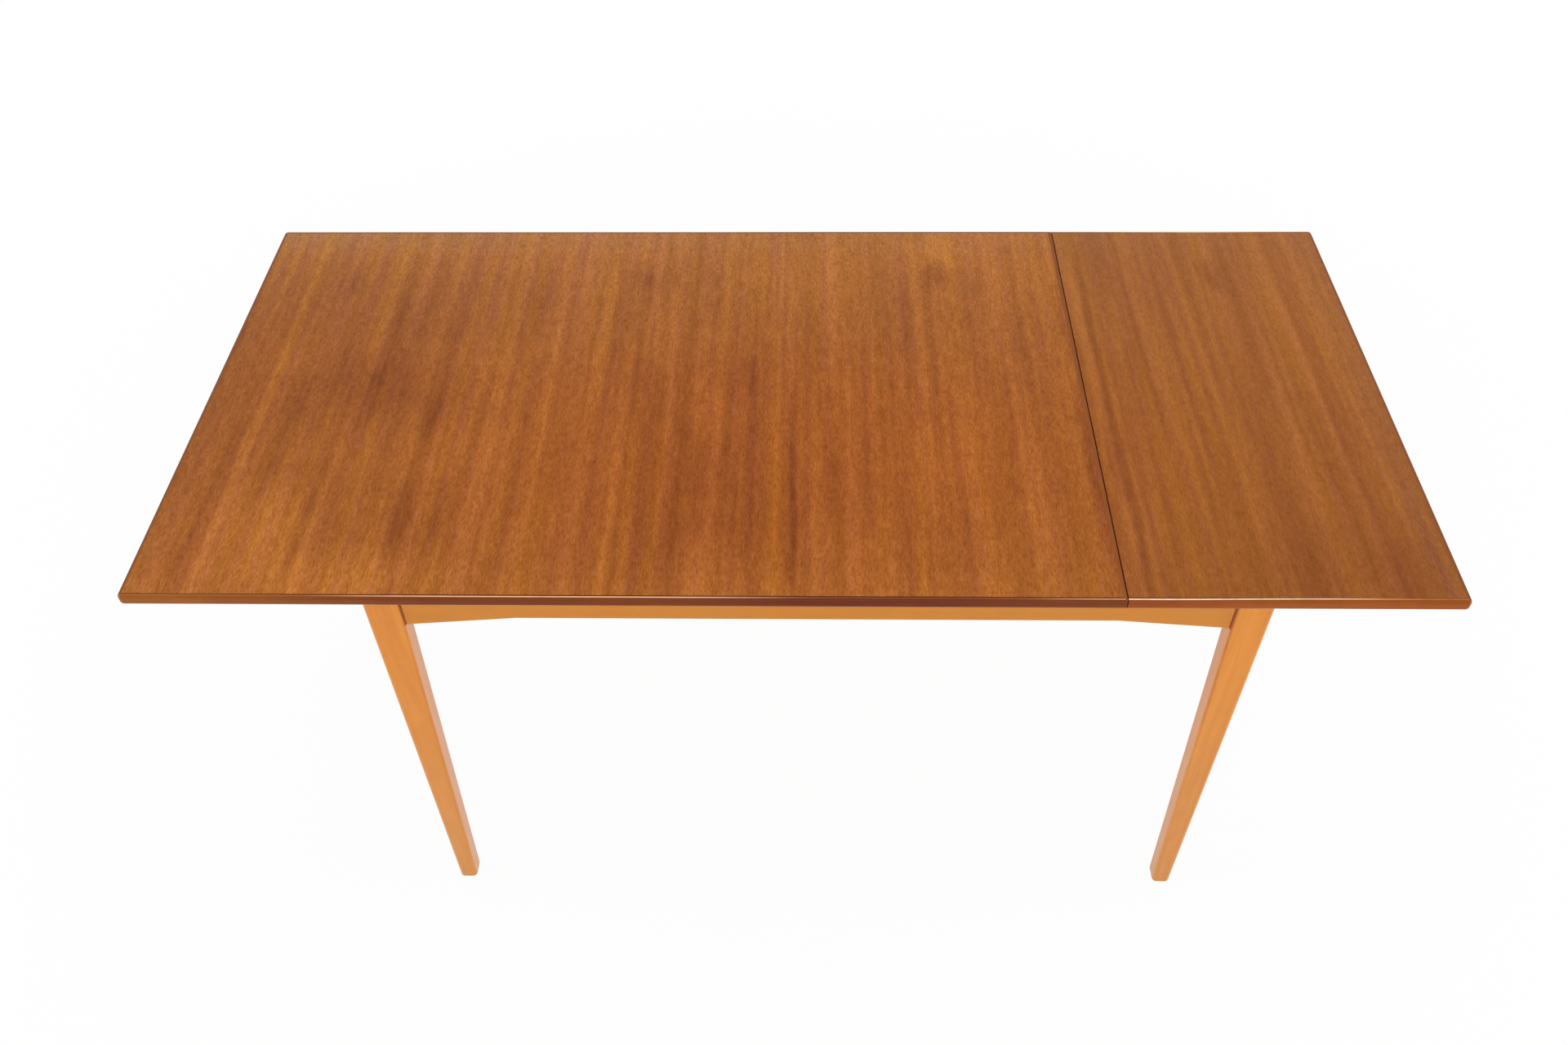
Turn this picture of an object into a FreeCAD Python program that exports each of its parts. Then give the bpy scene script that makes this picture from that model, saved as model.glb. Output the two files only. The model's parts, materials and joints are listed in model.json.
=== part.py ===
import FreeCAD, Part
import math
import os
import Sketcher

# Extending dining table, drawn as it stands when it is open: the main top is pushed to the
# left on its frame, and a loose leaf continues it at the right.
# X runs along the length towards the leaf, Y from the front to the back, and Z up. The origin
# is on the floor under the middle of the extended top. All sizes are in millimetres.

doc = FreeCAD.newDocument("ExtendingTable")

SIZES = (
    ("top_height", 740, "floor to the upper face of the top"),
    ("top_width", 785, "front edge to back edge"),
    ("main_length", 1249, "main top, end to end"),
    ("leaf_length", 418, "leaf, seam to outer end"),
    ("seam_gap", 0.6, "open joint between main top and leaf"),
    ("top_thickness", 17, "panel with both veneers"),
    ("veneer_thickness", 0.6, "face, backing and edge veneers"),
    ("lipping_width", 6, "solid edging round the panels"),
    ("upper_arris_radius", 5, "rounding of the upper edge"),
    ("lower_arris_radius", 6, "rounding of the lower edge"),
    ("corner_radius", 6.5, "rounding of the corners seen from above"),
    ("seam_arris_radius", 1.5, "easing round the main top's edge at the seam"),
    ("slide_travel", 243, "from the open place to the closed one"),
    ("frame_length", 1158, "outside the legs, along the table"),
    ("frame_inset", 29, "long edge of the top to the legs"),
    ("leg_width", 47.5, "leg at the rails, along the table"),
    ("foot_width", 27, "leg at the floor, along the table"),
    ("leg_depth", 31, "leg across the table, the same all the way down"),
    ("leg_arris_radius", 5, "arrises of the leg at the rails"),
    ("foot_arris_radius", 7, "arrises of the leg at the floor"),
    ("foot_bevel", 2, "bevel round the sole of the foot"),
    ("rail_thickness", 20, "all four rails"),
    ("rail_setback", 4, "rail behind the outer face of the leg"),
    ("rail_end_height", 76, "rail beside a leg"),
    ("rail_middle_height", 62, "rail between its slanting ends"),
    ("long_slant", 145, "slanting end of a long rail"),
    ("short_slant", 100, "slanting end of an end rail"),
    ("rail_arris_radius", 2, "lower outer arris of a rail"),
    ("tenon_thickness", 8, "rail tenons"),
    ("long_tenon", 23, "length of a long rail's tenon"),
    ("short_tenon", 18, "length of an end rail's tenon"),
    ("tenon_shoulder", 11, "above and below a rail tenon"),
    ("glue_gap", 0.1, "between a tenon and its mortise"),
    ("cross_rail_width", 45, "along the table"),
    ("cross_rail_height", 22, "cross rail, top to bottom"),
    ("cross_rail_lift", 3, "cross rail above the long rails' lower edge"),
    ("cross_rail_reach", 250, "cross rail from the middle of the frame"),
    ("stub_tenon", 10, "length of a cross rail's tenon"),
    ("stub_shoulder", 6, "round a cross rail's tenon"),
    ("ledge_height", 12, "guide ledge, top to bottom"),
    ("ledge_drop", 11, "guide ledge below the top of the rails"),
    ("ledge_grip", 10, "guide ledge inside the runner's groove"),
    ("ledge_end_gap", 1, "guide ledge short of each leg"),
    ("runner_width", 30, "runner across the table"),
    ("runner_height", 34, "runner, top to bottom"),
    ("slide_clearance", 0.4, "between pieces that slide on each other"),
    ("stop_clearance", 0.3, "runner short of an end rail at its stop"),
    ("bearer_width", 34, "leaf bearer across the table"),
    ("bearer_height", 22, "leaf bearer, top to bottom"),
    ("bearer_reach", 200, "leaf bearer from the middle line"),
    ("tongue_length", 160, "leaf bearer under the main top"),
    ("bearer_margin", 45, "leaf bearer short of the leaf's outer end"),
    ("bearer_lead", 4, "bevel that guides the tongue in"),
    ("bearer_bevel", 12, "bevel under the outer end of a bearer"),
    ("block_reach", 50, "corner block along a long rail"),
    ("block_height", 25, "corner block, top to bottom"),
    ("block_lift", 8, "corner block above the rails' end edge"),
    ("block_seat", 14, "wood under a corner block's screw head"),
    ("screw_diameter", 4, "shank of every wood screw"),
    ("head_diameter", 8, "head of every wood screw"),
    ("head_height", 2.6, "head of every wood screw"),
    ("bore_diameter", 9, "bore that sinks a screw head"),
    ("screw_bite", 11, "screw in the piece that it holds on to"),
    ("screw_play", 0.1, "screw hole wider than the screw"),
    ("tip_gap", 0.5, "hole deeper than the screw"),
    ("runner_bore", 12, "screw head sunk in a runner"),
    ("bearer_bore", 6, "screw head sunk in a bearer"),
    ("ledge_bore", 3, "screw head sunk in a ledge"),
    ("screw_margin", 60, "first screw from the end of its piece"),
)

# Places that follow from the sizes. The frame is set out from its own middle, the main top
# and the leaf from theirs. Depths into the frame are counted from the legs' outer faces.
PLACES = (
    ("main_middle", "=-(Sizes.seam_gap + Sizes.leaf_length) / 2"),
    ("leaf_middle", "=(Sizes.main_length + Sizes.seam_gap) / 2"),
    ("frame_middle", "=main_middle + Sizes.slide_travel"),
    ("half_main", "=Sizes.main_length / 2"),
    ("half_leaf", "=Sizes.leaf_length / 2"),
    ("half_width", "=Sizes.top_width / 2"),
    ("half_length", "=Sizes.frame_length / 2"),
    ("half_depth", "=half_width - Sizes.frame_inset"),
    ("frame_top", "=Sizes.top_height - Sizes.top_thickness"),
    ("core_bottom", "=frame_top + Sizes.veneer_thickness"),
    ("core_top", "=Sizes.top_height - Sizes.veneer_thickness"),
    ("panel_edge", "=half_width - Sizes.lipping_width"),
    ("rail_inside", "=Sizes.rail_setback + Sizes.rail_thickness"),
    ("rail_end_bottom", "=frame_top - Sizes.rail_end_height"),
    ("rail_middle_bottom", "=frame_top - Sizes.rail_middle_height"),
    ("tenon_inset", "=Sizes.rail_setback + (Sizes.rail_thickness - Sizes.tenon_thickness) / 2"),
    ("tenon_bottom", "=rail_end_bottom + Sizes.tenon_shoulder"),
    ("tenon_top", "=frame_top - Sizes.tenon_shoulder"),
    ("long_shoulder", "=half_length - Sizes.leg_width"),
    ("short_shoulder", "=half_depth - Sizes.leg_depth"),
    ("rail_face_x", "=half_length - rail_inside"),
    ("rail_face_y", "=half_depth - rail_inside"),
    ("cross_bottom", "=rail_middle_bottom + Sizes.cross_rail_lift"),
    ("cross_top", "=cross_bottom + Sizes.cross_rail_height"),
    ("ledge_top", "=frame_top - Sizes.ledge_drop"),
    ("ledge_bottom", "=ledge_top - Sizes.ledge_height"),
    ("runner_face", "=short_shoulder - Sizes.slide_clearance"),
    ("ledge_face", "=runner_face - Sizes.ledge_grip"),
    ("groove_floor", "=ledge_face - Sizes.slide_clearance"),
    ("runner_back", "=runner_face - Sizes.runner_width"),
    ("runner_bottom", "=frame_top - Sizes.runner_height"),
    ("runner_left", "=Sizes.slide_travel + Sizes.stop_clearance - rail_face_x"),
    ("runner_right", "=rail_face_x - Sizes.stop_clearance"),
    ("runner_web", "=(groove_floor + runner_back) / 2"),
    ("runner_seat", "=runner_bottom + Sizes.runner_bore"),
    ("bearer_bottom", "=frame_top - Sizes.bearer_height"),
    ("bearer_inner", "=-half_leaf - Sizes.seam_gap - Sizes.tongue_length"),
    ("bearer_outer", "=half_leaf - Sizes.bearer_margin"),
    ("bearer_seat", "=bearer_bottom + Sizes.bearer_bore"),
    ("tongue_top", "=frame_top - Sizes.slide_clearance"),
    ("ledge_seat", "=ledge_face + Sizes.ledge_bore"),
    ("block_bottom", "=rail_end_bottom + Sizes.block_lift"),
    ("block_screw_in", "=Sizes.leg_width + Sizes.block_reach / 2"),
    ("block_screw_z", "=block_bottom + Sizes.block_height / 2"),
    ("block_seat_in", "=rail_inside + Sizes.block_seat"),
    ("screw_reach", "=frame_top + Sizes.screw_bite"),
    ("hole_diameter", "=Sizes.screw_diameter + Sizes.screw_play"),
    ("hole_bite", "=Sizes.screw_bite + Sizes.tip_gap"),
)

RUNNER_SCREWS = 4
BEARER_SCREWS = 3
LEDGE_SCREWS = 4
SHANK_SIDES = 8
HEAD_SIDES = 12
FULL_TURN = 360
LEFT, RIGHT = -1, 1
FRONT, BACK = -1, 1
UP = 1

# Origin plane for each axis, and the way that the plane's own normal points along it.
PLANES = {"X": ("YZ_Plane", 1), "Y": ("XZ_Plane", -1), "Z": ("XY_Plane", 1)}

sizes = doc.addObject("Spreadsheet::Sheet", "Sizes")
for row, (alias, value, note) in enumerate(SIZES, start=1):
    sizes.set(f"A{row}", str(value))
    sizes.setAlias(f"A{row}", alias)
    sizes.set(f"B{row}", note)
places = doc.addObject("Spreadsheet::Sheet", "Places")
for row, (alias, formula) in enumerate(PLACES, start=1):
    places.setAlias(f"A{row}", alias)
    places.set(f"A{row}", formula)
doc.recompute()

nodes = []


def number(expression):
    """Present value of an expression on the two sheets."""
    return float(sizes.evalExpression(expression))


def new_body(name, middle):
    """Empty body whose own X starts from the named middle."""
    body = doc.addObject("PartDesign::Body", name)
    body.Label = name
    body.setExpression("Placement.Base.x", middle)
    return body


def frame_body(name):
    return new_body(name, "Places.frame_middle")


def closed_line(sketch, corners):
    """Straight-sided outline through corners that are given as pairs of expressions."""
    points = [FreeCAD.Vector(number(x), number(y), 0) for x, y in corners]
    pairs = zip(points, points[1:] + points[:1])
    sides = sketch.addGeometry([Part.LineSegment(start, end) for start, end in pairs], False)
    followers = sides[1:] + sides[:1]
    sketch.addConstraint([
        Sketcher.Constraint("Coincident", side, 2, following, 1)
        for side, following in zip(sides, followers)
    ])
    hold_points(sketch, [(side, 1, corner) for side, corner in zip(sides, corners)])


def polygon(corners):
    """One closed outline."""

    def draw(sketch):
        closed_line(sketch, corners)

    return draw


def rectangles(*bounds):
    """Separate rectangles in one sketch, each given by its bounds."""

    def draw(sketch):
        for x_low, x_high, y_low, y_high in bounds:
            corners = ((x_low, y_low), (x_high, y_low), (x_high, y_high), (x_low, y_high))
            closed_line(sketch, corners)

    return draw


def rectangle(x_low, x_high, y_low, y_high):
    return rectangles((x_low, x_high, y_low, y_high))


def hold_points(sketch, held):
    """Tie points of a sketch, by geometry and point number, to places given as expressions."""
    ties = []
    wanted = []
    for geometry, point, place in held:
        for kind, expression in zip(("DistanceX", "DistanceY"), place):
            ties.append(Sketcher.Constraint(kind, -1, 1, geometry, point, number(expression)))
            wanted.append(expression)
    for index, expression in zip(sketch.addConstraint(ties), wanted):
        sketch.setExpression(f"Constraints[{index}]", expression)


def rounds(centres, diameter, sides):
    """Equal small rounds. Screws and their holes repeat often, so they get a few flat sides."""
    angles = [FULL_TURN * corner / sides for corner in range(sides)]

    def draw(sketch):
        for x, y in centres:
            closed_line(sketch, [
                (f"{x} + {diameter} / 2 * cos({angle})", f"{y} + {diameter} / 2 * sin({angle})")
                for angle in angles
            ])

    return draw


def screw_holes(centres):
    return rounds(centres, "Places.hole_diameter", SHANK_SIDES)


def head_bores(centres):
    return rounds(centres, "Sizes.bore_diameter", HEAD_SIDES)


def sketch_at(body, name, axis, level, draw):
    """Sketch square to an axis, at a level along it."""
    role, normal = PLANES[axis]
    sketch = body.newObject("Sketcher::SketchObject", name)
    plane = [item for item in body.Origin.OriginFeatures if item.Role == role][0]
    sketch.AttachmentSupport = [(plane, "")]
    sketch.MapMode = "FlatFace"
    sketch.setExpression("AttachmentOffset.Base.z", f"{normal} * ({level})")
    draw(sketch)
    return sketch


def pad(body, name, axis, level, way, length, draw):
    """Add material from a level, along the axis if way is 1 and against it if way is -1."""
    sketch = sketch_at(body, name + "_outline", axis, level, draw)
    feature = body.newObject("PartDesign::Pad", name)
    feature.Profile = sketch
    feature.setExpression("Length", length)
    feature.Reversed = way * PLANES[axis][1] < 0
    doc.recompute()
    return feature


def pocket(body, name, axis, level, way, depth, draw):
    """Cut from a level along the axis, and see that the cut has met the solid."""
    before = body.Shape.Volume
    sketch = sketch_at(body, name + "_outline", axis, level, draw)
    feature = body.newObject("PartDesign::Pocket", name)
    feature.Profile = sketch
    feature.setExpression("Length", depth)
    feature.Reversed = way * PLANES[axis][1] > 0
    doc.recompute()
    if body.Shape.Volume >= before:
        raise RuntimeError(f"{body.Label}: {name} cuts nothing")
    return feature


def round_edges(body, name, radius, chosen):
    """Fillet those edges of the body's last feature for which chosen(edge) holds."""
    base = body.Tip
    picked = [f"Edge{i}" for i, edge in enumerate(base.Shape.Edges, start=1) if chosen(edge)]
    fillet = body.newObject("PartDesign::Fillet", name)
    fillet.Base = (base, picked)
    fillet.setExpression("Radius", radius)
    doc.recompute()
    return fillet


def spread(edge, axis):
    """Lowest and highest place of an edge along one axis."""
    box = edge.BoundBox
    return {"X": (box.XMin, box.XMax), "Y": (box.YMin, box.YMax), "Z": (box.ZMin, box.ZMax)}[axis]


def lies_at(edge, axis, level):
    """Whether a whole edge lies at one level of an axis."""
    slack = number("Sizes.glue_gap")
    low, high = spread(edge, axis)
    return abs(low - level) < slack and abs(high - level) < slack


def box(name, middle, low, high):
    """Plain board between two corners, each given as three expressions."""
    board = doc.addObject("Part::Box", name)
    board.Label = name
    for size, start, end in zip(("Length", "Width", "Height"), low, high):
        board.setExpression(size, f"({end}) - ({start})")
    board.setExpression("Placement.Base.x", f"{middle} + ({low[0]})")
    board.setExpression("Placement.Base.y", low[1])
    board.setExpression("Placement.Base.z", low[2])
    nodes.append(board)
    return board


def screw_line(start, end, count):
    """Places of evenly spaced screws along a piece, as expressions."""
    run = f"(({end}) - ({start}) - 2 * Sizes.screw_margin)"
    return [f"{start} + Sizes.screw_margin + {run} * {i} / {count - 1}" for i in range(count)]


# Edges of the two tops

def edge_blank(name, middle, half, seam):
    """Full panel with its rounded corners and arrises, from which the lippings are taken.

    The edge on the side of the seam stays square."""
    body = new_body(name, middle)
    outline = rectangle(f"-{half}", half, "-Places.half_width", "Places.half_width")
    pad(body, name + "_slab", "Z", "Places.frame_top", UP, "Sizes.top_thickness", outline)
    end = number(half)
    slack = number("Sizes.glue_gap")

    def outer_corner(edge):
        low, high = spread(edge, "Z")
        upright = high - low > slack
        x = spread(edge, "X")[0]
        return upright and x * seam < 0

    def outer_arris(level):
        def chosen(edge):
            at_seam = lies_at(edge, "X", seam * end)
            return lies_at(edge, "Z", level) and not at_seam

        return chosen

    round_edges(body, name + "_corners", "Sizes.corner_radius", outer_corner)
    top = number("Sizes.top_height")
    bottom = number("Places.frame_top")
    round_edges(body, name + "_upper", "Sizes.upper_arris_radius", outer_arris(top))
    round_edges(body, name + "_lower", "Sizes.lower_arris_radius", outer_arris(bottom))
    return body


def lipping(name, blank, middle, corners):
    """Length of edging: the part of the blank that lies inside a mitred strip."""
    strip = new_body(name + "_strip", middle)
    pad(strip, name + "_board", "Z", "Places.frame_top", UP, "Sizes.top_thickness", polygon(corners))
    piece = doc.addObject("Part::Common", name)
    piece.Label = name
    piece.Base = blank
    piece.Tool = strip
    doc.recompute()
    nodes.append(piece)


def long_lipping(name, blank, middle, half, side, left_end, right_end):
    """Edging along the front or the back. Each end stops short by its own mitre."""
    outer = f"{side} * Places.half_width"
    inner = f"{side} * Places.panel_edge"
    lipping(name, blank, middle, (
        (f"-{half}", outer),
        (half, outer),
        (f"{half} - {right_end}", inner),
        (f"-{half} + {left_end}", inner),
    ))


def end_lipping(name, blank, middle, half, side):
    """Edging across the left or the right end, mitred at both corners."""
    outer = f"{side} * {half}"
    inner = f"{side} * ({half} - Sizes.lipping_width)"
    lipping(name, blank, middle, (
        (outer, "-Places.half_width"),
        (outer, "Places.half_width"),
        (inner, "Places.panel_edge"),
        (inner, "-Places.panel_edge"),
    ))


def panel(name, middle, left, right, screw_places):
    """Core with its face and backing veneers, bored from below for the screws."""
    plan = rectangle(left, right, "-Places.panel_edge", "Places.panel_edge")
    core = new_body(name + "_core", middle)
    core_left = left if name == "main" else f"{left} + Sizes.veneer_thickness"
    core_plan = rectangle(core_left, right, "-Places.panel_edge", "Places.panel_edge")
    thickness = "Places.core_top - Places.core_bottom"
    pad(core, name + "_slab_core", "Z", "Places.core_bottom", UP, thickness, core_plan)
    bite = "Places.hole_bite - Sizes.veneer_thickness"
    holes = screw_holes(screw_places)
    pocket(core, name + "_core_holes", "Z", "Places.core_bottom", UP, bite, holes)
    nodes.append(core)
    face = new_body(name + "_face_veneer", middle)
    pad(face, name + "_face_sheet", "Z", "Places.core_top", UP, "Sizes.veneer_thickness", plan)
    nodes.append(face)
    backing = new_body(name + "_backing_veneer", middle)
    pad(backing, name + "_backing_sheet", "Z", "Places.frame_top", UP, "Sizes.veneer_thickness", plan)
    pocket(backing, name + "_backing_holes", "Z", "Places.frame_top", UP,
           "Sizes.veneer_thickness", holes)
    nodes.append(backing)


def screws(name, middle, rows):
    """Group of wood screws. Each row has an axis, way, seat, tip and the screws' centres."""
    body = new_body(name, middle)
    body.AllowCompound = True
    for index, (axis, way, seat, tip, centres) in enumerate(rows):
        shank = rounds(centres, "Sizes.screw_diameter", SHANK_SIDES)
        head = rounds(centres, "Sizes.head_diameter", HEAD_SIDES)
        length = f"{way} * (({tip}) - ({seat}))"
        pad(body, f"{name}_shank_{index}", axis, seat, way, length, shank)
        pad(body, f"{name}_head_{index}", axis, seat, -way, "Sizes.head_height", head)
    nodes.append(body)


# Main top

main_blank = edge_blank("main_blank", "Places.main_middle", "Places.half_main", RIGHT)
seam_end = number("Places.half_main")
round_edges(main_blank, "main_blank_seam", "Sizes.seam_arris_radius",
            lambda edge: lies_at(edge, "X", seam_end))
for name, side in (("main_front_lipping", FRONT), ("main_back_lipping", BACK)):
    long_lipping(name, main_blank, "Places.main_middle", "Places.half_main", side,
                 "Sizes.lipping_width", "Sizes.lipping_width")
for name, side in (("main_left_lipping", LEFT), ("main_right_lipping", RIGHT)):
    end_lipping(name, main_blank, "Places.main_middle", "Places.half_main", side)

runner_screw_x = screw_line("Places.runner_left", "Places.runner_right", RUNNER_SCREWS)
runner_screw_places = [
    (x, f"{side} * Places.runner_web") for side in (FRONT, BACK) for x in runner_screw_x
]
panel("main", "Places.main_middle", "-Places.half_main + Sizes.lipping_width",
      "Places.half_main - Sizes.lipping_width", runner_screw_places)


def runner(name, side):
    """Batten under the main top, grooved along its outer face to ride on the guide ledge."""
    body = new_body(name, "Places.main_middle")
    face = f"{side} * Places.runner_face"
    floor = f"{side} * Places.groove_floor"
    back = f"{side} * Places.runner_back"
    groove_top = "Places.ledge_top + Sizes.slide_clearance"
    groove_bottom = "Places.ledge_bottom - Sizes.slide_clearance"
    section = polygon((
        (back, "Places.runner_bottom"),
        (face, "Places.runner_bottom"),
        (face, groove_bottom),
        (floor, groove_bottom),
        (floor, groove_top),
        (face, groove_top),
        (face, "Places.frame_top"),
        (back, "Places.frame_top"),
    ))
    length = "Places.runner_right - Places.runner_left"
    pad(body, name + "_batten", "X", "Places.runner_left", RIGHT, length, section)
    centres = [(x, f"{side} * Places.runner_web") for x in runner_screw_x]
    pocket(body, name + "_bores", "Z", "Places.runner_bottom", UP, "Sizes.runner_bore",
           head_bores(centres))
    pocket(body, name + "_holes", "Z", "Places.runner_bottom", UP, "Sizes.runner_height",
           screw_holes(centres))
    nodes.append(body)


runner("front_runner", FRONT)
runner("back_runner", BACK)
screws("runner_screws", "Places.main_middle",
       (("Z", UP, "Places.runner_seat", "Places.screw_reach", runner_screw_places),))

# Leaf

leaf_blank = edge_blank("leaf_blank", "Places.leaf_middle", "Places.half_leaf", LEFT)
for name, side in (("leaf_front_lipping", FRONT), ("leaf_back_lipping", BACK)):
    long_lipping(name, leaf_blank, "Places.leaf_middle", "Places.half_leaf", side,
                 "0", "Sizes.lipping_width")
end_lipping("leaf_end_lipping", leaf_blank, "Places.leaf_middle", "Places.half_leaf", RIGHT)

bearer_screw_x = screw_line("-Places.half_leaf", "Places.bearer_outer", BEARER_SCREWS)
bearer_screw_places = [
    (x, f"{side} * Sizes.bearer_reach") for side in (FRONT, BACK) for x in bearer_screw_x
]
panel("leaf", "Places.leaf_middle", "-Places.half_leaf",
      "Places.half_leaf - Sizes.lipping_width", bearer_screw_places)
box("leaf_seam_veneer", "Places.leaf_middle",
    ("-Places.half_leaf", "-Places.panel_edge", "Places.core_bottom"),
    ("-Places.half_leaf + Sizes.veneer_thickness", "Places.panel_edge", "Places.core_top"))


def bearer(name, side):
    """Batten under the leaf whose tongue reaches beneath the main top."""
    body = new_body(name, "Places.leaf_middle")
    profile = polygon((
        ("Places.bearer_inner + Sizes.bearer_lead", "Places.bearer_bottom"),
        ("Places.bearer_outer - Sizes.bearer_bevel", "Places.bearer_bottom"),
        ("Places.bearer_outer", "Places.bearer_bottom + Sizes.bearer_bevel"),
        ("Places.bearer_outer", "Places.frame_top"),
        ("-Places.half_leaf", "Places.frame_top"),
        ("-Places.half_leaf", "Places.tongue_top"),
        ("Places.bearer_inner + Sizes.bearer_lead", "Places.tongue_top"),
        ("Places.bearer_inner", "Places.tongue_top - Sizes.bearer_lead"),
        ("Places.bearer_inner", "Places.bearer_bottom + Sizes.bearer_lead"),
    ))
    near_side = f"{side} * Sizes.bearer_reach - Sizes.bearer_width / 2"
    pad(body, name + "_batten", "Y", near_side, BACK, "Sizes.bearer_width", profile)
    centres = [(x, f"{side} * Sizes.bearer_reach") for x in bearer_screw_x]
    pocket(body, name + "_bores", "Z", "Places.bearer_bottom", UP, "Sizes.bearer_bore",
           head_bores(centres))
    pocket(body, name + "_holes", "Z", "Places.bearer_bottom", UP, "Sizes.bearer_height",
           screw_holes(centres))
    nodes.append(body)


bearer("leaf_front_bearer", FRONT)
bearer("leaf_back_bearer", BACK)
screws("bearer_screws", "Places.leaf_middle",
       (("Z", UP, "Places.bearer_seat", "Places.screw_reach", bearer_screw_places),))

# Frame

def rounded_rectangle(x_low, x_high, y_low, y_high, radius):
    """Outline with four equal round corners, for bounds given as expressions."""

    def draw(sketch):
        inner = (
            (f"{x_low} + {radius}", f"{y_low} + {radius}"),
            (f"{x_high} - {radius}", f"{y_low} + {radius}"),
            (f"{x_high} - {radius}", f"{y_high} - {radius}"),
            (f"{x_low} + {radius}", f"{y_high} - {radius}"),
        )
        size = number(radius)
        centres = [FreeCAD.Vector(number(x), number(y), 0) for x, y in inner]
        turn = math.pi / 2
        normal = FreeCAD.Vector(0, 0, 1)
        corners = len(centres)
        for index, centre in enumerate(centres):
            begin = (index + 2) * turn
            ring = Part.Circle(centre, normal, size)
            sketch.addGeometry(Part.ArcOfCircle(ring, begin, begin + turn), False)
        for index in range(corners):
            start = sketch.getPoint(index, 2)
            end = sketch.getPoint((index + 1) % corners, 1)
            sketch.addGeometry(Part.LineSegment(start, end), False)
        for index in range(corners):
            side = corners + index
            following = (index + 1) % corners
            sketch.addConstraint(Sketcher.Constraint("Tangent", index, 2, side, 1))
            sketch.addConstraint(Sketcher.Constraint("Tangent", side, 2, following, 1))
            held = sketch.addConstraint(Sketcher.Constraint("Radius", index, size))
            sketch.setExpression(f"Constraints[{held}]", radius)
        hold_points(sketch, [(index, 3, place) for index, place in enumerate(inner)])

    return draw


def leg_section(side_x, side_y, width, radius, inset="0"):
    """Section of a leg that keeps its outer faces and is narrower at its inner face."""
    outer_x = f"{side_x} * (Places.half_length - {inset})"
    inner_x = f"{side_x} * (Places.half_length - {width} + {inset})"
    outer_y = f"{side_y} * (Places.half_depth - {inset})"
    inner_y = f"{side_y} * (Places.short_shoulder + {inset})"
    x_bounds = (inner_x, outer_x) if side_x > 0 else (outer_x, inner_x)
    y_bounds = (inner_y, outer_y) if side_y > 0 else (outer_y, inner_y)
    return rounded_rectangle(*x_bounds, *y_bounds, radius)


def leg(name, side_x, side_y):
    """Leg that tapers on its inner face, below the rails, and softens towards the foot."""
    body = frame_body(name)
    sole = sketch_at(body, name + "_sole", "Z", "0",
                     leg_section(side_x, side_y, "Sizes.foot_width",
                                 "(Sizes.foot_arris_radius - Sizes.foot_bevel)", "Sizes.foot_bevel"))
    foot = sketch_at(body, name + "_foot", "Z", "Sizes.foot_bevel",
                     leg_section(side_x, side_y, "Sizes.foot_width", "Sizes.foot_arris_radius"))
    knee = sketch_at(body, name + "_knee", "Z", "Places.rail_end_bottom",
                     leg_section(side_x, side_y, "Sizes.leg_width", "Sizes.leg_arris_radius"))
    shin = body.newObject("PartDesign::AdditiveLoft", name + "_shin")
    shin.Profile = sole
    shin.Sections = [foot, knee]
    shin.Ruled = True
    doc.recompute()
    pad(body, name + "_upper", "Z", "Places.rail_end_bottom", UP, "Sizes.rail_end_height",
        leg_section(side_x, side_y, "Sizes.leg_width", "Sizes.leg_arris_radius"))
    cheek = "Sizes.glue_gap"
    low = f"Places.tenon_bottom - {cheek}"
    high = f"Places.tenon_top + {cheek}"
    near = f"Places.tenon_inset - {cheek}"
    far = f"Places.tenon_inset + Sizes.tenon_thickness + {cheek}"
    pocket(body, name + "_long_mortise", "X", f"{side_x} * Places.long_shoulder", side_x,
           f"Sizes.long_tenon + {cheek}",
           rectangle(f"{side_y} * (Places.half_depth - ({near}))",
                     f"{side_y} * (Places.half_depth - ({far}))", low, high))
    pocket(body, name + "_short_mortise", "Y", f"{side_y} * Places.short_shoulder", side_y,
           f"Sizes.short_tenon + {cheek}",
           rectangle(f"{side_x} * (Places.half_length - ({near}))",
                     f"{side_x} * (Places.half_length - ({far}))", low, high))
    nodes.append(body)


for end_name, side_x in (("left", LEFT), ("right", RIGHT)):
    for face_name, side_y in (("front", FRONT), ("back", BACK)):
        leg(f"{face_name}_{end_name}_leg", side_x, side_y)


def rail_profile(shoulder, slant):
    """Front view of a rail: deep beside the legs, then slanting up to a straight middle."""
    return polygon((
        (f"-{shoulder}", "Places.frame_top"),
        (f"-{shoulder}", "Places.rail_end_bottom"),
        (f"-{shoulder} + {slant}", "Places.rail_middle_bottom"),
        (f"{shoulder} - {slant}", "Places.rail_middle_bottom"),
        (shoulder, "Places.rail_end_bottom"),
        (shoulder, "Places.frame_top"),
    ))


def rail(name, axis, side, half, shoulder, slant, tenon):
    """Rail between two legs, with a tenon at each end and a softened lower outer arris."""
    body = frame_body(name)
    outer = f"{side} * ({half} - Sizes.rail_setback)"
    pad(body, name + "_board", axis, outer, -side, "Sizes.rail_thickness",
        rail_profile(shoulder, slant))
    face = number(outer)
    bottom = number("Places.rail_middle_bottom")
    slack = number("Sizes.glue_gap")
    round_edges(body, name + "_arris", "Sizes.rail_arris_radius",
                lambda edge: lies_at(edge, axis, face) and spread(edge, "Z")[1] < bottom + slack)
    reach = f"({shoulder} + {tenon})"
    pad(body, name + "_tenons", axis, f"{side} * ({half} - Places.tenon_inset)", -side,
        "Sizes.tenon_thickness",
        rectangle(f"-{reach}", reach, "Places.tenon_bottom", "Places.tenon_top"))
    return body


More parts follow.
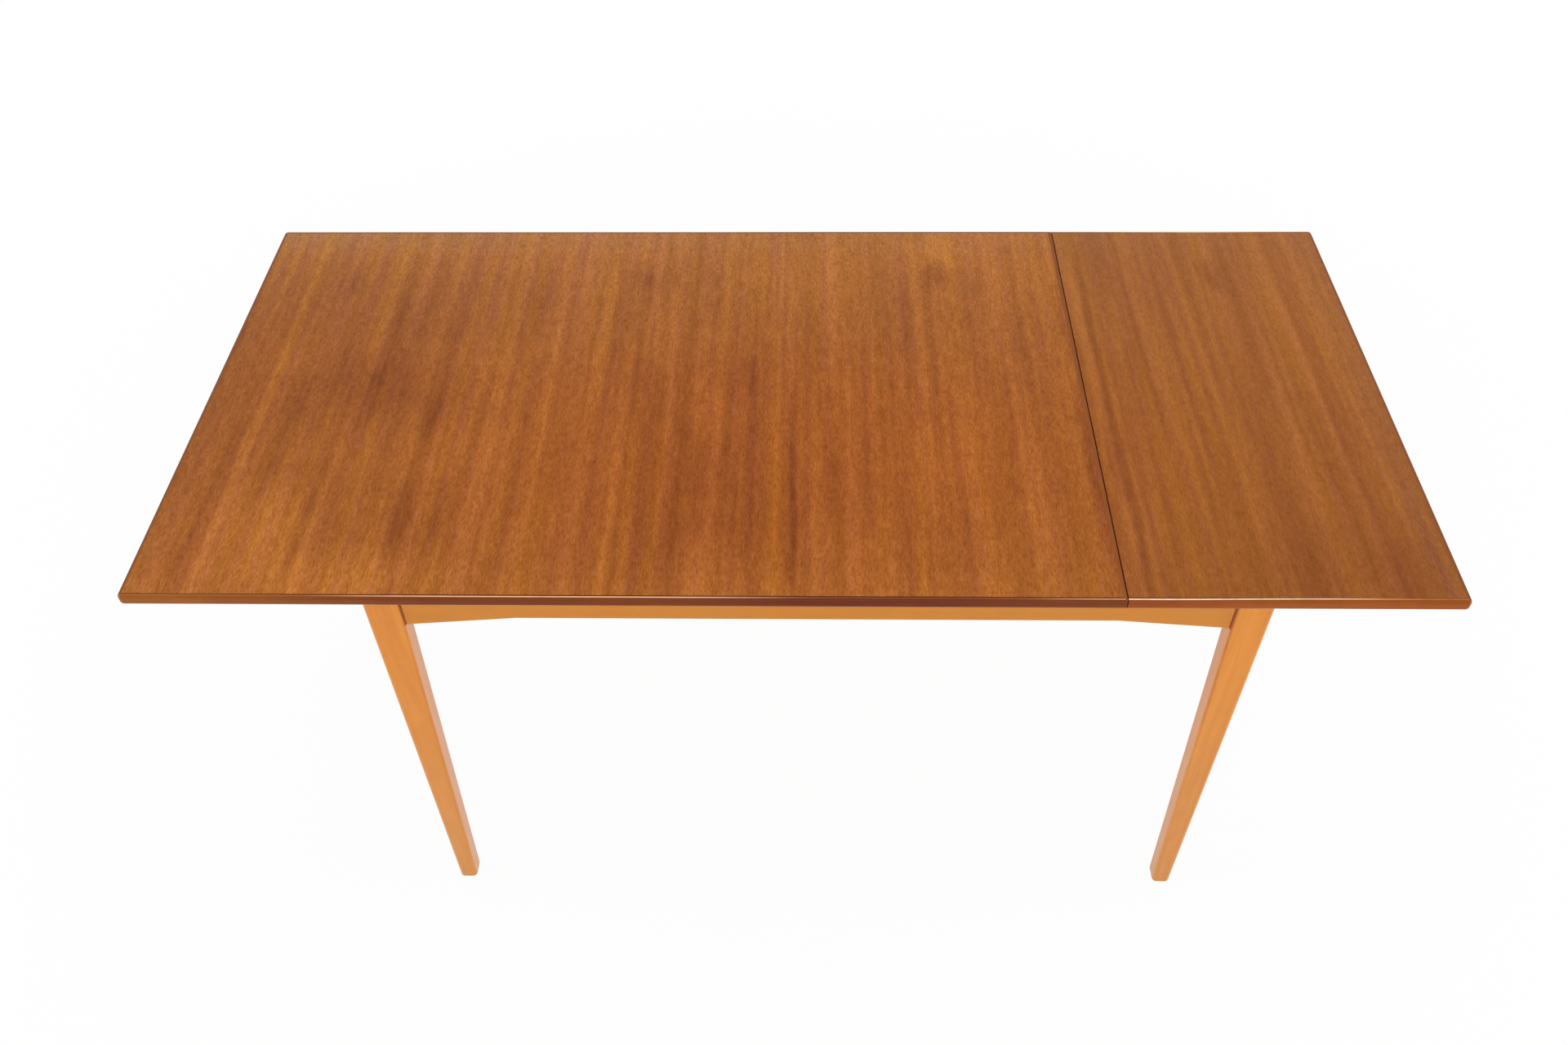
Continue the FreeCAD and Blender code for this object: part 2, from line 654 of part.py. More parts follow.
ledge_screw_x = screw_line("-Places.long_shoulder", "Places.long_shoulder", LEDGE_SCREWS)
ledge_screw_z = "Places.ledge_bottom + Sizes.ledge_height / 2"


def cross_mortise(side):
    """Bounds of the stub mortise that a cross rail needs in a long rail."""
    centre = f"{side} * Sizes.cross_rail_reach"
    half_stub = "(Sizes.cross_rail_width / 2 - Sizes.stub_shoulder + Sizes.glue_gap)"
    return (f"{centre} - {half_stub}", f"{centre} + {half_stub}",
            "Places.cross_bottom + Sizes.stub_shoulder - Sizes.glue_gap",
            "Places.cross_top - Sizes.stub_shoulder + Sizes.glue_gap")


def long_rail(name, side):
    body = rail(name, "Y", side, "Places.half_depth", "Places.long_shoulder",
                "Sizes.long_slant", "Sizes.long_tenon")
    inner = f"{side} * Places.rail_face_y"
    pocket(body, name + "_stub_mortises", "Y", inner, side, "Sizes.stub_tenon + Sizes.glue_gap",
           rectangles(cross_mortise(LEFT), cross_mortise(RIGHT)))
    block_x = "(Places.half_length - Places.block_screw_in)"
    centres = [(x, ledge_screw_z) for x in ledge_screw_x]
    centres += [(f"{end} * {block_x}", "Places.block_screw_z") for end in (LEFT, RIGHT)]
    pocket(body, name + "_screw_holes", "Y", inner, side, "Places.hole_bite",
           screw_holes(centres))
    nodes.append(body)


def end_rail(name, side, notched):
    body = rail(name, "X", side, "Places.half_length", "Places.short_shoulder",
                "Sizes.short_slant", "Sizes.short_tenon")
    inner = f"{side} * Places.rail_face_x"
    if notched:
        half_notch = "(Sizes.bearer_width / 2 + Sizes.slide_clearance)"
        notch_floor = "Places.bearer_bottom - Sizes.slide_clearance"
        notches = [
            (f"{face} * Sizes.bearer_reach - {half_notch}",
             f"{face} * Sizes.bearer_reach + {half_notch}", notch_floor, "Places.frame_top")
            for face in (FRONT, BACK)
        ]
        pocket(body, name + "_notches", "X", inner, side, "Sizes.rail_thickness",
               rectangles(*notches))
    block_y = "(Places.half_depth - Places.block_screw_in)"
    centres = [(f"{face} * {block_y}", "Places.block_screw_z") for face in (FRONT, BACK)]
    pocket(body, name + "_screw_holes", "X", inner, side, "Places.hole_bite",
           screw_holes(centres))
    nodes.append(body)


long_rail("front_rail", FRONT)
long_rail("back_rail", BACK)
end_rail("left_end_rail", LEFT, notched=False)
end_rail("right_end_rail", RIGHT, notched=True)


def cross_rail(name, side):
    """Low rail that ties the long rails together beneath the runners and bearers."""
    body = frame_body(name)
    centre = f"{side} * Sizes.cross_rail_reach"
    half = "Sizes.cross_rail_width / 2"
    pad(body, name + "_board", "Z", "Places.cross_bottom", UP, "Sizes.cross_rail_height",
        rectangle(f"{centre} - {half}", f"{centre} + {half}",
                  "-Places.rail_face_y", "Places.rail_face_y"))
    half_stub = f"({half} - Sizes.stub_shoulder)"
    reach = "(Places.rail_face_y + Sizes.stub_tenon)"
    pad(body, name + "_stubs", "Z", "Places.cross_bottom + Sizes.stub_shoulder", UP,
        "Sizes.cross_rail_height - 2 * Sizes.stub_shoulder",
        rectangle(f"{centre} - {half_stub}", f"{centre} + {half_stub}", f"-{reach}", reach))
    nodes.append(body)


cross_rail("left_cross_rail", LEFT)
cross_rail("right_cross_rail", RIGHT)


def ledge(name, side):
    """Strip on the inner face of a long rail that carries and holds down a runner."""
    body = frame_body(name)
    half = "(Places.long_shoulder - Sizes.ledge_end_gap)"
    outline = rectangle(f"-{half}", half, "Places.ledge_bottom", "Places.ledge_top")
    inner = f"{side} * Places.ledge_face"
    pad(body, name + "_strip", "Y", inner, side, "Places.rail_face_y - Places.ledge_face", outline)
    centres = [(x, ledge_screw_z) for x in ledge_screw_x]
    pocket(body, name + "_bores", "Y", inner, side, "Sizes.ledge_bore",
           head_bores(centres))
    pocket(body, name + "_holes", "Y", inner, side, "Places.rail_face_y - Places.ledge_face",
           screw_holes(centres))
    nodes.append(body)


ledge("front_ledge", FRONT)
ledge("back_ledge", BACK)
screws("ledge_screws", "Places.frame_middle", [
    ("Y", side, f"{side} * Places.ledge_seat", f"{side} * (Places.rail_face_y + Sizes.screw_bite)",
     [(x, ledge_screw_z) for x in ledge_screw_x])
    for side in (FRONT, BACK)
])


def corner_block(name, side_x, side_y):
    """Three-cornered block glued and screwed into the angle of two rails behind a leg."""
    body = frame_body(name)
    tip = "(Sizes.leg_width + Sizes.block_reach)"

    def corner(depth_x, depth_y):
        return (f"{side_x} * (Places.half_length - {depth_x})",
                f"{side_y} * (Places.half_depth - {depth_y})")

    pad(body, name + "_prism", "Z", "Places.block_bottom", UP, "Sizes.block_height", polygon((
        corner("Sizes.leg_width", "Places.rail_inside"),
        corner(tip, "Places.rail_inside"),
        corner("Places.rail_inside", tip),
        corner("Places.rail_inside", "Sizes.leg_depth"),
        corner("Sizes.leg_width", "Sizes.leg_depth"),
    )))
    for axis, along, across, other in (
        ("Y", side_x, side_y, "Places.half_length"),
        ("X", side_y, side_x, "Places.half_depth"),
    ):
        depth = "Places.half_depth" if axis == "Y" else "Places.half_length"
        centre = [(f"{along} * ({other} - Places.block_screw_in)", "Places.block_screw_z")]
        pocket(body, f"{name}_bore_{axis}", axis, f"{across} * ({depth} - Places.block_seat_in)",
               -across, "Sizes.block_reach", head_bores(centre))
        pocket(body, f"{name}_hole_{axis}", axis, f"{across} * ({depth} - Places.rail_inside)",
               -across, "Sizes.block_seat", screw_holes(centre))
    nodes.append(body)


block_screw_rows = []
for end_name, side_x in (("left", LEFT), ("right", RIGHT)):
    for face_name, side_y in (("front", FRONT), ("back", BACK)):
        corner_block(f"{face_name}_{end_name}_corner_block", side_x, side_y)
        reach = "Places.rail_inside - Sizes.screw_bite"
        across_x = f"{side_x} * (Places.half_length - Places.block_screw_in)"
        across_y = f"{side_y} * (Places.half_depth - Places.block_screw_in)"
        block_screw_rows.append((
            "Y", side_y, f"{side_y} * (Places.half_depth - Places.block_seat_in)",
            f"{side_y} * (Places.half_depth - ({reach}))", [(across_x, "Places.block_screw_z")],
        ))
        block_screw_rows.append((
            "X", side_x, f"{side_x} * (Places.half_length - Places.block_seat_in)",
            f"{side_x} * (Places.half_length - ({reach}))", [(across_y, "Places.block_screw_z")],
        ))
screws("corner_block_screws", "Places.frame_middle", block_screw_rows)

# Every object has to be sound before anything is written

doc.recompute()
for item in doc.Objects:
    if "Invalid" in item.State or "Error" in item.State:
        raise RuntimeError(f"{item.Label} is {item.State}")
for item in nodes:
    if item.Shape.isNull() or not item.Shape.isValid():
        raise RuntimeError(f"{item.Label} has no sound shape")

os.makedirs("parts", exist_ok=True)
for item in nodes:
    item.Shape.exportStep(f"parts/{item.Label}.step")
    solids = len(item.Shape.Solids)
    print(f"{item.Label}: {solids} solid(s), {item.Shape.Volume / 1000:.1f} cm3")
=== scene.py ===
import functools
import json
import math

import bmesh
import bpy
from mathutils import Matrix, Vector

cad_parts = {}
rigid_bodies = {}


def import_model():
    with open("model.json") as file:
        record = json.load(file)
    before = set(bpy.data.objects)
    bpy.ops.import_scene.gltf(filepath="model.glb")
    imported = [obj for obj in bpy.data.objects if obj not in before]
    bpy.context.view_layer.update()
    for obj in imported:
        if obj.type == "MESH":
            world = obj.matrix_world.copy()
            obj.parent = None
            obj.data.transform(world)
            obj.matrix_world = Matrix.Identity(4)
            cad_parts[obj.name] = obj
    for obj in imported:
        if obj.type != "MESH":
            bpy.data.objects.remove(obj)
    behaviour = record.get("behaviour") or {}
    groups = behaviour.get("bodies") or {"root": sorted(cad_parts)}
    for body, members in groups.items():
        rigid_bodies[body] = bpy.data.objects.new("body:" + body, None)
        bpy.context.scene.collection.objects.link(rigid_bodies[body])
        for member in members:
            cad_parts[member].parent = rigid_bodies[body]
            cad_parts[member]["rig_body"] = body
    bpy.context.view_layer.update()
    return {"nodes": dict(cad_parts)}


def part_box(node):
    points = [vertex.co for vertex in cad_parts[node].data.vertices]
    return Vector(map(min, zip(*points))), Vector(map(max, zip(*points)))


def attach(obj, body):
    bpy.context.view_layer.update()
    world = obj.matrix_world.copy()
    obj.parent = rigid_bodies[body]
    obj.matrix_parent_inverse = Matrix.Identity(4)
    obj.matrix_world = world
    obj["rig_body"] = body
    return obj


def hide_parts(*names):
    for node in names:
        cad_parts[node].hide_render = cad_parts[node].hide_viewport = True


# Looks of the extending dining table. All lengths are in metres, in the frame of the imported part.

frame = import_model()

MM = 0.001

# Roundings of the top's edging
UPPER_ARRIS = 5 * MM
LOWER_ARRIS = 6 * MM
PLAN_CORNER = 6.5 * MM
SEAM_ARRIS = 1.5 * MM
JOINT_EASING = 0.25 * MM

# Legs and planed pieces
LEG_ARRIS = 5 * MM
FOOT_ARRIS = 7 * MM
FOOT_WIDTH = 27 * MM
FOOT_ROUNDING = 2 * MM
PLANED_EASING = 0.5 * MM

# Screws
HEAD_HEIGHT = 2.6 * MM
HEAD_DOME = 0.7 * MM
SLOT_WIDTH = 1.1 * MM
SLOT_DEPTH = 1.2 * MM
SCREW_POINT = 4 * MM
POINT_SHARE = 0.15
SLOT_TURN = math.radians(137.5)

# Fineness of roundings, and tolerances
ARC_STEPS = 8
DOME_STEPS = 3
EASING_STEPS = 2
HEAD_SIDES = 32
ROUND = 0.5
WELD = 0.002 * MM
LEVEL = 0.99
FACES_DOWN = 0.9
SMOOTH_ANGLE = math.radians(30)
FLAT_ANGLE = math.radians(0.5)
FLAT_FACE_WEIGHT = 100
ORDER_DIGITS = 4

FACE_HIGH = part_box("main_face_veneer")[1]
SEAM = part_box("leaf_face_veneer")[0].x
RAIL_LOW, RAIL_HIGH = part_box("front_rail")
LEG_LOW, LEG_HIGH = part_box("front_right_leg")
FRAME_MIDDLE = (RAIL_LOW.x + RAIL_HIGH.x) / 2

LEFT, RIGHT = Vector((-1, 0, 0)), Vector((1, 0, 0))
FRONT, BACK = Vector((0, -1, 0)), Vector((0, 1, 0))


# Modelling

def choose_only(*chosen):
    """Leave nothing selected but these objects, with the last one active."""
    bpy.ops.object.select_all(action="DESELECT")
    for piece in chosen:
        piece.select_set(True)
        bpy.context.view_layer.objects.active = piece


def edit(piece):
    choose_only(piece)
    bpy.ops.object.mode_set(mode="EDIT")


def leave_edit():
    bpy.ops.object.mode_set(mode="OBJECT")


def select_items(mode, kind, wanted):
    """In edit mode, select the faces or edges for which wanted(item) holds."""
    bpy.ops.mesh.select_mode(type=mode)
    bpy.ops.mesh.select_all(action="DESELECT")
    mesh = bpy.context.edit_object.data
    shape = bmesh.from_edit_mesh(mesh)
    for item in getattr(shape, kind):
        if wanted(item):
            item.select_set(True)
    shape.select_flush_mode()
    bmesh.update_edit_mesh(mesh)


def select_edges(wanted):
    select_items("EDGE", "edges", wanted)


def select_faces(wanted):
    select_items("FACE", "faces", wanted)


def round_edges(wanted, radius, steps=ARC_STEPS):
    """In edit mode, round the edges for which wanted(edge) holds."""
    select_edges(wanted)
    bpy.ops.mesh.bevel(offset=radius, segments=steps, affect="EDGES", profile=ROUND,
                       clamp_overlap=False)


def ends(edge):
    return [vertex.co for vertex in edge.verts]


def is_level(edge, height):
    return all(abs(point.z - height) < WELD for point in ends(edge))


def in_plane(edge, x):
    return all(abs(point.x - x) < WELD for point in ends(edge))


def is_upright(edge):
    first, second = ends(edge)
    return (first - second).xy.length < WELD


def named(name):
    """The object that an operator has just added, under its own name."""
    piece = bpy.context.active_object
    piece.name = name
    piece.data.name = name
    bpy.ops.object.transform_apply(location=True, rotation=True, scale=True)
    return piece


def block(name, low, high):
    """Cube primitive drawn out between two corners."""
    choose_only()
    bpy.ops.mesh.primitive_cube_add(size=1, location=(low + high) / 2, scale=high - low)
    return named(name)


def copy_of(piece, name):
    twin = bpy.data.objects.new(name, piece.data.copy())
    twin.data.name = name
    bpy.context.scene.collection.objects.link(twin)
    return twin


def joined(pieces, name):
    choose_only(*pieces)
    bpy.ops.object.join()
    return named(name)


def apply_modifier(piece, kind, **settings):
    choose_only(piece)
    modifier = piece.modifiers.new(kind.title(), kind)
    for name, value in settings.items():
        setattr(modifier, name, value)
    bpy.ops.object.modifier_apply(modifier=modifier.name)


def ease_edges(piece, width):
    """Take the sharpness off every edge that turns by more than the smooth angle."""
    apply_modifier(piece, "BEVEL", width=width, segments=EASING_STEPS, limit_method="ANGLE",
                   angle_limit=SMOOTH_ANGLE, use_clamp_overlap=True)


def shade(piece):
    """Smooth roundings that leave the flat faces flat."""
    choose_only(piece)
    bpy.ops.object.shade_smooth_by_angle(angle=SMOOTH_ANGLE)
    apply_modifier(piece, "WEIGHTED_NORMAL", keep_sharp=True, weight=FLAT_FACE_WEIGHT)


def slot_of(node):
    return frame["nodes"][node].data.materials[0].name


def hand_over(piece, node, finish):
    """Put a finished piece in the place of a CAD node, on the same body, with the finish given."""
    piece.data.materials.clear()
    piece.data.materials.append(finish)
    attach(piece, frame["nodes"][node]["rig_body"])
    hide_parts(node)


# Tops: the lippings are cut from a rounded blank

def edge_blank(low, high, seam):
    """Whole panel with its rounded corners and arrises. The edge at the seam stays square."""
    blank = block("edge_blank", low, high)

    def outside(edge):
        return not in_plane(edge, high.x if seam.x > 0 else low.x)

    edit(blank)
    round_edges(lambda edge: is_upright(edge) and outside(edge), PLAN_CORNER)
    round_edges(lambda edge: is_level(edge, high.z) and outside(edge), UPPER_ARRIS)
    round_edges(lambda edge: is_level(edge, low.z) and outside(edge), LOWER_ARRIS)
    leave_edit()
    return blank


def cut_off(piece, place, outwards):
    """Saw a piece through a plane and drop what lies beyond it."""
    edit(piece)
    bpy.ops.mesh.select_all(action="SELECT")
    bpy.ops.mesh.bisect(plane_co=place, plane_no=outwards, use_fill=True, clear_outer=True,
                        threshold=WELD)
    leave_edit()


def lipping(node, blank, side, corners, finish):
    """Strip along one side of a blank, mitred at the corners where it meets another strip."""
    panel_low, panel_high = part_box(node.split("_")[0] + "_face_veneer")

    def panel_corner(signs):
        x = panel_high.x if signs.x > 0 else panel_low.x
        y = panel_high.y if signs.y > 0 else panel_low.y
        return Vector((x, y, panel_low.z))

    strip = copy_of(blank, node + "_edging")
    cut_off(strip, panel_corner(side), -side)
    for corner in corners:
        cut_off(strip, panel_corner(corner), (corner - 2 * side).normalized())
    ease_edges(strip, JOINT_EASING)
    shade(strip)
    hand_over(strip, node, finish)


def top_edges():
    """Four strips round the main top and three round the leaf."""
    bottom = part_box("main_backing_veneer")[0].z
    low = Vector((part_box("main_left_lipping")[0].x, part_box("main_front_lipping")[0].y, bottom))
    high = Vector((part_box("main_right_lipping")[1].x, -low.y, FACE_HIGH.z))
    blank = edge_blank(low, high, RIGHT)
    edit(blank)
    round_edges(lambda edge: in_plane(edge, high.x), SEAM_ARRIS)
    leave_edit()
    for name, side in (("front", FRONT), ("back", BACK)):
        lipping(f"main_{name}_lipping", blank, side, (side + LEFT, side + RIGHT),
                wood("main_lipping", "x"))
    for name, side in (("left", LEFT), ("right", RIGHT)):
        lipping(f"main_{name}_lipping", blank, side, (side + FRONT, side + BACK),
                wood("side_lipping", "y"))
    bpy.data.objects.remove(blank)

    low.x = SEAM
    high.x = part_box("leaf_end_lipping")[1].x
    blank = edge_blank(low, high, LEFT)
    for name, side in (("front", FRONT), ("back", BACK)):
        lipping(f"leaf_{name}_lipping", blank, side, (side + RIGHT,), wood("leaf_lipping", "x"))
    lipping("leaf_end_lipping", blank, RIGHT, (RIGHT + FRONT, RIGHT + BACK),
            wood("side_lipping", "y"))
    bpy.data.objects.remove(blank)


# Legs: rounded sections at the floor, the knee and the top, bridged

def leg_section(x_outer, x_inner, y_low, y_high, height, radius):
    """Outline of a leg at one height, with equal round corners."""
    choose_only()
    middle = ((x_outer + x_inner) / 2, (y_low + y_high) / 2, height)
    bpy.ops.mesh.primitive_plane_add(size=1, location=middle)
    bpy.ops.transform.resize(value=(abs(x_outer - x_inner), y_high - y_low, 1))
    section = named("leg_section")
    edit(section)
    bpy.ops.mesh.select_all(action="SELECT")
    bpy.ops.mesh.bevel(offset=radius, segments=ARC_STEPS, affect="VERTICES", profile=ROUND)
    bpy.ops.mesh.delete(type="ONLY_FACE")
    leave_edit()
    return section


def leg(node, finish):
    """Leg that tapers on its inner face from the knee down and softens towards the foot."""
    low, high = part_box(node)
    outwards = 1 if low.x > FRAME_MIDDLE else -1
    x_outer = high.x if outwards > 0 else low.x
    full = high.x - low.x
    sections = [
        leg_section(x_outer, x_outer - outwards * width, low.y, high.y, height, radius)
        for height, width, radius in (
            (low.z, FOOT_WIDTH, FOOT_ARRIS),
            (RAIL_LOW.z, full, LEG_ARRIS),
            (high.z, full, LEG_ARRIS),
        )
    ]
    piece = joined(sections, node + "_shaped")
    edit(piece)
    bpy.ops.mesh.select_all(action="SELECT")
    bpy.ops.mesh.bridge_edge_loops(type="SINGLE")
    for level in (low.z, high.z):
        select_edges(lambda edge: is_level(edge, level))
        bpy.ops.mesh.edge_face_add()
    bpy.ops.mesh.select_all(action="SELECT")
    bpy.ops.mesh.normals_make_consistent(inside=False)
    round_edges(lambda edge: is_level(edge, low.z), FOOT_ROUNDING)
    leave_edit()
    shade(piece)
    hand_over(piece, node, finish)


# Rails, battens and blocks: the CAD shape with its edges eased

def planed(node, finish):
    """Copy of a CAD node with its triangles merged into whole faces and its edges eased."""
    piece = copy_of(frame["nodes"][node], node + "_planed")
    edit(piece)
    bpy.ops.mesh.customdata_custom_splitnormals_clear()
    bpy.ops.mesh.select_all(action="SELECT")
    bpy.ops.mesh.remove_doubles(threshold=WELD)
    bpy.ops.mesh.dissolve_limited(angle_limit=FLAT_ANGLE)
    leave_edit()
    ease_edges(piece, PLANED_EASING)
    shade(piece)
    hand_over(piece, node, finish)


# Screws: one is modelled and copied to every place that the frame gives

def islands(node):
    """Separate solids of a CAD node, each as the list of its points, in a fixed order."""
    mesh = bmesh.new()
    mesh.from_mesh(frame["nodes"][node].data)
    bmesh.ops.remove_doubles(mesh, verts=mesh.verts, dist=WELD)
    left = set(mesh.verts)
    found = []
    while left:
        front = [left.pop()]
        solid = []
        while front:
            vertex = front.pop()
            solid.append(vertex.co.copy())
            for link in vertex.link_edges:
                other = link.other_vert(vertex)
                if other in left:
                    left.remove(other)
                    front.append(other)
        found.append(solid)
    mesh.free()

    def lowest_corner(solid):
        return tuple(round(value, ORDER_DIGITS) for value in min(map(tuple, solid)))

    return sorted(found, key=lowest_corner)


def screw_place(solid):
    """Middle of a screw's head, the way that its shank points, its length and its two radii."""
    low = Vector([min(point[axis] for point in solid) for axis in range(3)])
    high = Vector([max(point[axis] for point in solid) for axis in range(3)])
    span = high - low
    axis = max(range(3), key=lambda index: span[index])
    centre = (low + high) / 2
    reach = {}
    for end in (low[axis], high[axis]):
        near = [point for point in solid if abs(point[axis] - end) < WELD]
        away = [point - centre for point in near]
        for offset in away:
            offset[axis] = 0
        reach[end] = max(offset.length for offset in away)
    head_end = max(reach, key=reach.get)
    tip_end = min(reach, key=reach.get)
    head = centre.copy()
    head[axis] = head_end
    way = Vector((0, 0, 0))
    way[axis] = 1 if tip_end > head_end else -1
    return head, way, span[axis], reach[head_end], reach[tip_end]


def slotted_screw(length, head_radius, shank_radius):
    """Wood screw with a slotted, slightly domed head. Its head faces up and its point down."""
    choose_only()
    bpy.ops.mesh.primitive_cylinder_add(vertices=HEAD_SIDES, radius=head_radius,
                                        depth=HEAD_HEIGHT, location=(0, 0, -HEAD_HEIGHT / 2))
    screw = named("slotted_screw")
    edit(screw)
    select_faces(lambda face: face.normal.z < -FACES_DOWN)
    bpy.ops.mesh.inset(thickness=head_radius - shank_radius)
    for drop, share in ((length - HEAD_HEIGHT - SCREW_POINT, 1), (SCREW_POINT, POINT_SHARE)):
        bpy.ops.mesh.extrude_region_move(TRANSFORM_OT_translate={"value": (0, 0, -drop)})
        bpy.ops.transform.resize(value=(share, share, 1))
    round_edges(lambda edge: is_level(edge, 0), HEAD_DOME, DOME_STEPS)
    for side in (-1, 1):
        select_faces(lambda face: face.normal.z > LEVEL)
        bpy.ops.mesh.bisect(plane_co=(side * SLOT_WIDTH / 2, 0, 0), plane_no=(1, 0, 0))
    select_faces(lambda face: face.normal.z > LEVEL
                 and abs(face.calc_center_median().x) < SLOT_WIDTH / 2)
    bpy.ops.mesh.extrude_region_move(TRANSFORM_OT_translate={"value": (0, 0, -SLOT_DEPTH)})
    leave_edit()
    return screw


def screw_set(node, finish):
    """One screw for each solid of a CAD node, each slot turned another way."""
    places = [screw_place(solid) for solid in islands(node)]
    pattern = slotted_screw(*places[0][2:])
    pieces = []
    for index, (head, way, *_) in enumerate(places):
        screw = copy_of(pattern, f"{node}_{index}")
        turn = Matrix.Rotation(index * SLOT_TURN, 4, "Z")
        aim = (-way).to_track_quat("Z", "Y").to_matrix().to_4x4()
        screw.data.transform(Matrix.Translation(head) @ aim @ turn)
        pieces.append(screw)
    bpy.data.objects.remove(pattern)
    group = joined(pieces, node + "_slotted")
    shade(group)
    hand_over(group, node, finish)


# Shader nodes, written as expressions

BUMP_STRENGTH = 0.1
BUMP_DEPTH = 0.2 * MM


class Wire:
    """Output of a shader node. Sums, differences, products and comparisons add Math nodes."""

    def __init__(self, graph, socket):
        self.graph = graph
        self.socket = socket

    def __add__(self, other):
        return self.graph.math("ADD", self, other)

    def __radd__(self, other):
        return self.graph.math("ADD", other, self)

    def __sub__(self, other):
        return self.graph.math("SUBTRACT", self, other)

    def __rsub__(self, other):
        return self.graph.math("SUBTRACT", other, self)

    def __mul__(self, other):
        return self.graph.math("MULTIPLY", self, other)

    def __rmul__(self, other):
        return self.graph.math("MULTIPLY", other, self)

    def __gt__(self, other):
        return self.graph.math("GREATER_THAN", self, other)

    def __lt__(self, other):
        return self.graph.math("LESS_THAN", self, other)

    def __abs__(self):
        return self.graph.math("ABSOLUTE", self)

    def outputs(self):
        """All outputs of the node that this wire comes from."""
        return [Wire(self.graph, socket) for socket in self.socket.node.outputs]


class Graph:
    """Shader nodes of one material, or of the world."""

    # Sockets of a Mix node for colours, by number because their names are there more than once
    MIX_SHARE, MIX_FIRST, MIX_SECOND, MIX_RESULT = 0, 6, 7, 2

    def __init__(self, owner):
        owner.use_nodes = True
        self.tree = owner.node_tree
        self.tree.nodes.clear()

    def node(self, kind, settings=None, inputs=None, output=0):
        """Add a node: first its settings, then the values or wires of its sockets."""
        made = self.tree.nodes.new(kind)
        for name, value in (settings or {}).items():
            if name == "stops":
                self.set_stops(made.color_ramp, value)
            else:
                setattr(made, name, value)
        for socket, value in (inputs or {}).items():
            if isinstance(value, Wire):
                self.tree.links.new(value.socket, made.inputs[socket])
            else:
                made.inputs[socket].default_value = value
        return Wire(self, made.outputs[output]) if made.outputs else None

    @staticmethod
    def set_stops(ramp, stops):
        stops = list(stops)
        while len(ramp.elements) < len(stops):
            ramp.elements.new(1)
        for element, (place, colour) in zip(ramp.elements, stops):
            element.position = place
            element.color = colour

    def math(self, operation, *values):
        return self.node("ShaderNodeMath", {"operation": operation}, dict(enumerate(values)))

    def vector(self, operation, *values, output="Vector"):
        return self.node("ShaderNodeVectorMath", {"operation": operation},
                         dict(enumerate(values)), output)

    def length(self, vector):
        return self.vector("LENGTH", vector, output="Value")

    def ramp(self, value, *colours):
        """Colours at even places from 0 to 1."""
        stops = ((index / (len(colours) - 1), colour) for index, colour in enumerate(colours))
        return self.node("ShaderNodeValToRGB", {"stops": stops}, {"Fac": value})

    def mix(self, share, first, second, blend="MIX"):
        """Mix of two colours."""
        return self.node("ShaderNodeMix", {"data_type": "RGBA", "blend_type": blend},
                         {self.MIX_SHARE: share, self.MIX_FIRST: first, self.MIX_SECOND: second},
                         self.MIX_RESULT)

    def rise(self, value, start, end, height=1.0):
        """0 at start, the height at end, and a smooth step between them."""
        return self.node("ShaderNodeMapRange", {"interpolation_type": "SMOOTHSTEP"},
                         {"Value": value, "From Min": start, "From Max": end,
                          "To Min": 0.0, "To Max": height})

    def rises(self, value, steps):
        """Sum of rises of one value, each with its start, its end and its height."""
        return sum((self.rise(value, *step) for step in steps), 0.0)

    def noise(self, along, across, through, detail):
        """Cloudy noise at a place, from about 0.2 to 0.8 and evenly about 0.5."""
        place = self.node("ShaderNodeCombineXYZ", {}, {"X": along, "Y": across, "Z": through})
        return self.node("ShaderNodeTexNoise", {},
                         {"Vector": place, "Scale": 1.0, "Detail": detail, "Roughness": 0.5})

    def point(self):
        """Object coordinates."""
        return self.node("ShaderNodeTexCoord", output="Object")

    def places(self):
        """The three parts of the object coordinates."""
        return self.node("ShaderNodeSeparateXYZ", {}, {"Vector": self.point()}).outputs()

    def bump(self, height):
        return self.node("ShaderNodeBump", {}, {"Strength": BUMP_STRENGTH,
                                                "Distance": BUMP_DEPTH, "Height": height})

    def surface(self, **shader):
        """Principled shader and the output that it ends in."""
        wires = {name.replace("_", " "): value for name, value in shader.items()}
        made = self.node("ShaderNodeBsdfPrincipled", {}, wires)
        self.node("ShaderNodeOutputMaterial", {}, {"Surface": made})


def rgb(red, green, blue):
    """Linear colour from the three numbers of a screen colour."""

    def linear(value):
        share = value / 255
        return share / 12.92 if share <= 0.04045 else ((share + 0.055) / 1.055) ** 2.4

    return (linear(red), linear(green), linear(blue), 1.0)


# Face veneers. A layer of noise is given as how often it changes in a metre across and along
# the grain, its seed and its detail.

# The figure's layers, from broad to fine. Each veneer below gives them its own weights.
FIGURE = (
    (4.5, 3.5, 4.5, 2.0),
    (9, 6, 9, 2.0),
    (18, 0.7, 18, 1.0),
    (45, 0.8, 45, 1.0),
    (80, 3, 80, 1.0),
    (80, 28, 80, 2.0),
)
FLECKS = (170, 55, 31, 2.0)
FINE_GRAIN = (420, 130, 37, 1.0)
PORES = (1100, 85, 41, 1.0)
HUE = (55, 1.6, 43, 3.0)
HUE_LEVELS = (-0.2, 0.2)
PORE_LEVELS = (0.08, 0.22)
FINE_SHARE = 1.5
PORE_SHARE = 0.38
GRAIN_LIFT = 0.03

# Lacquer of the veneers, and the relief of the grain in it
VENEER_ROUGH = 0.40
VENEER_SPECULAR = 0.1
ROUGH_BY_FLECKS, ROUGH_BY_PORES = 0.2, 0.1
GRAIN_HEIGHT, PORE_HEIGHT = 0.4, 0.8

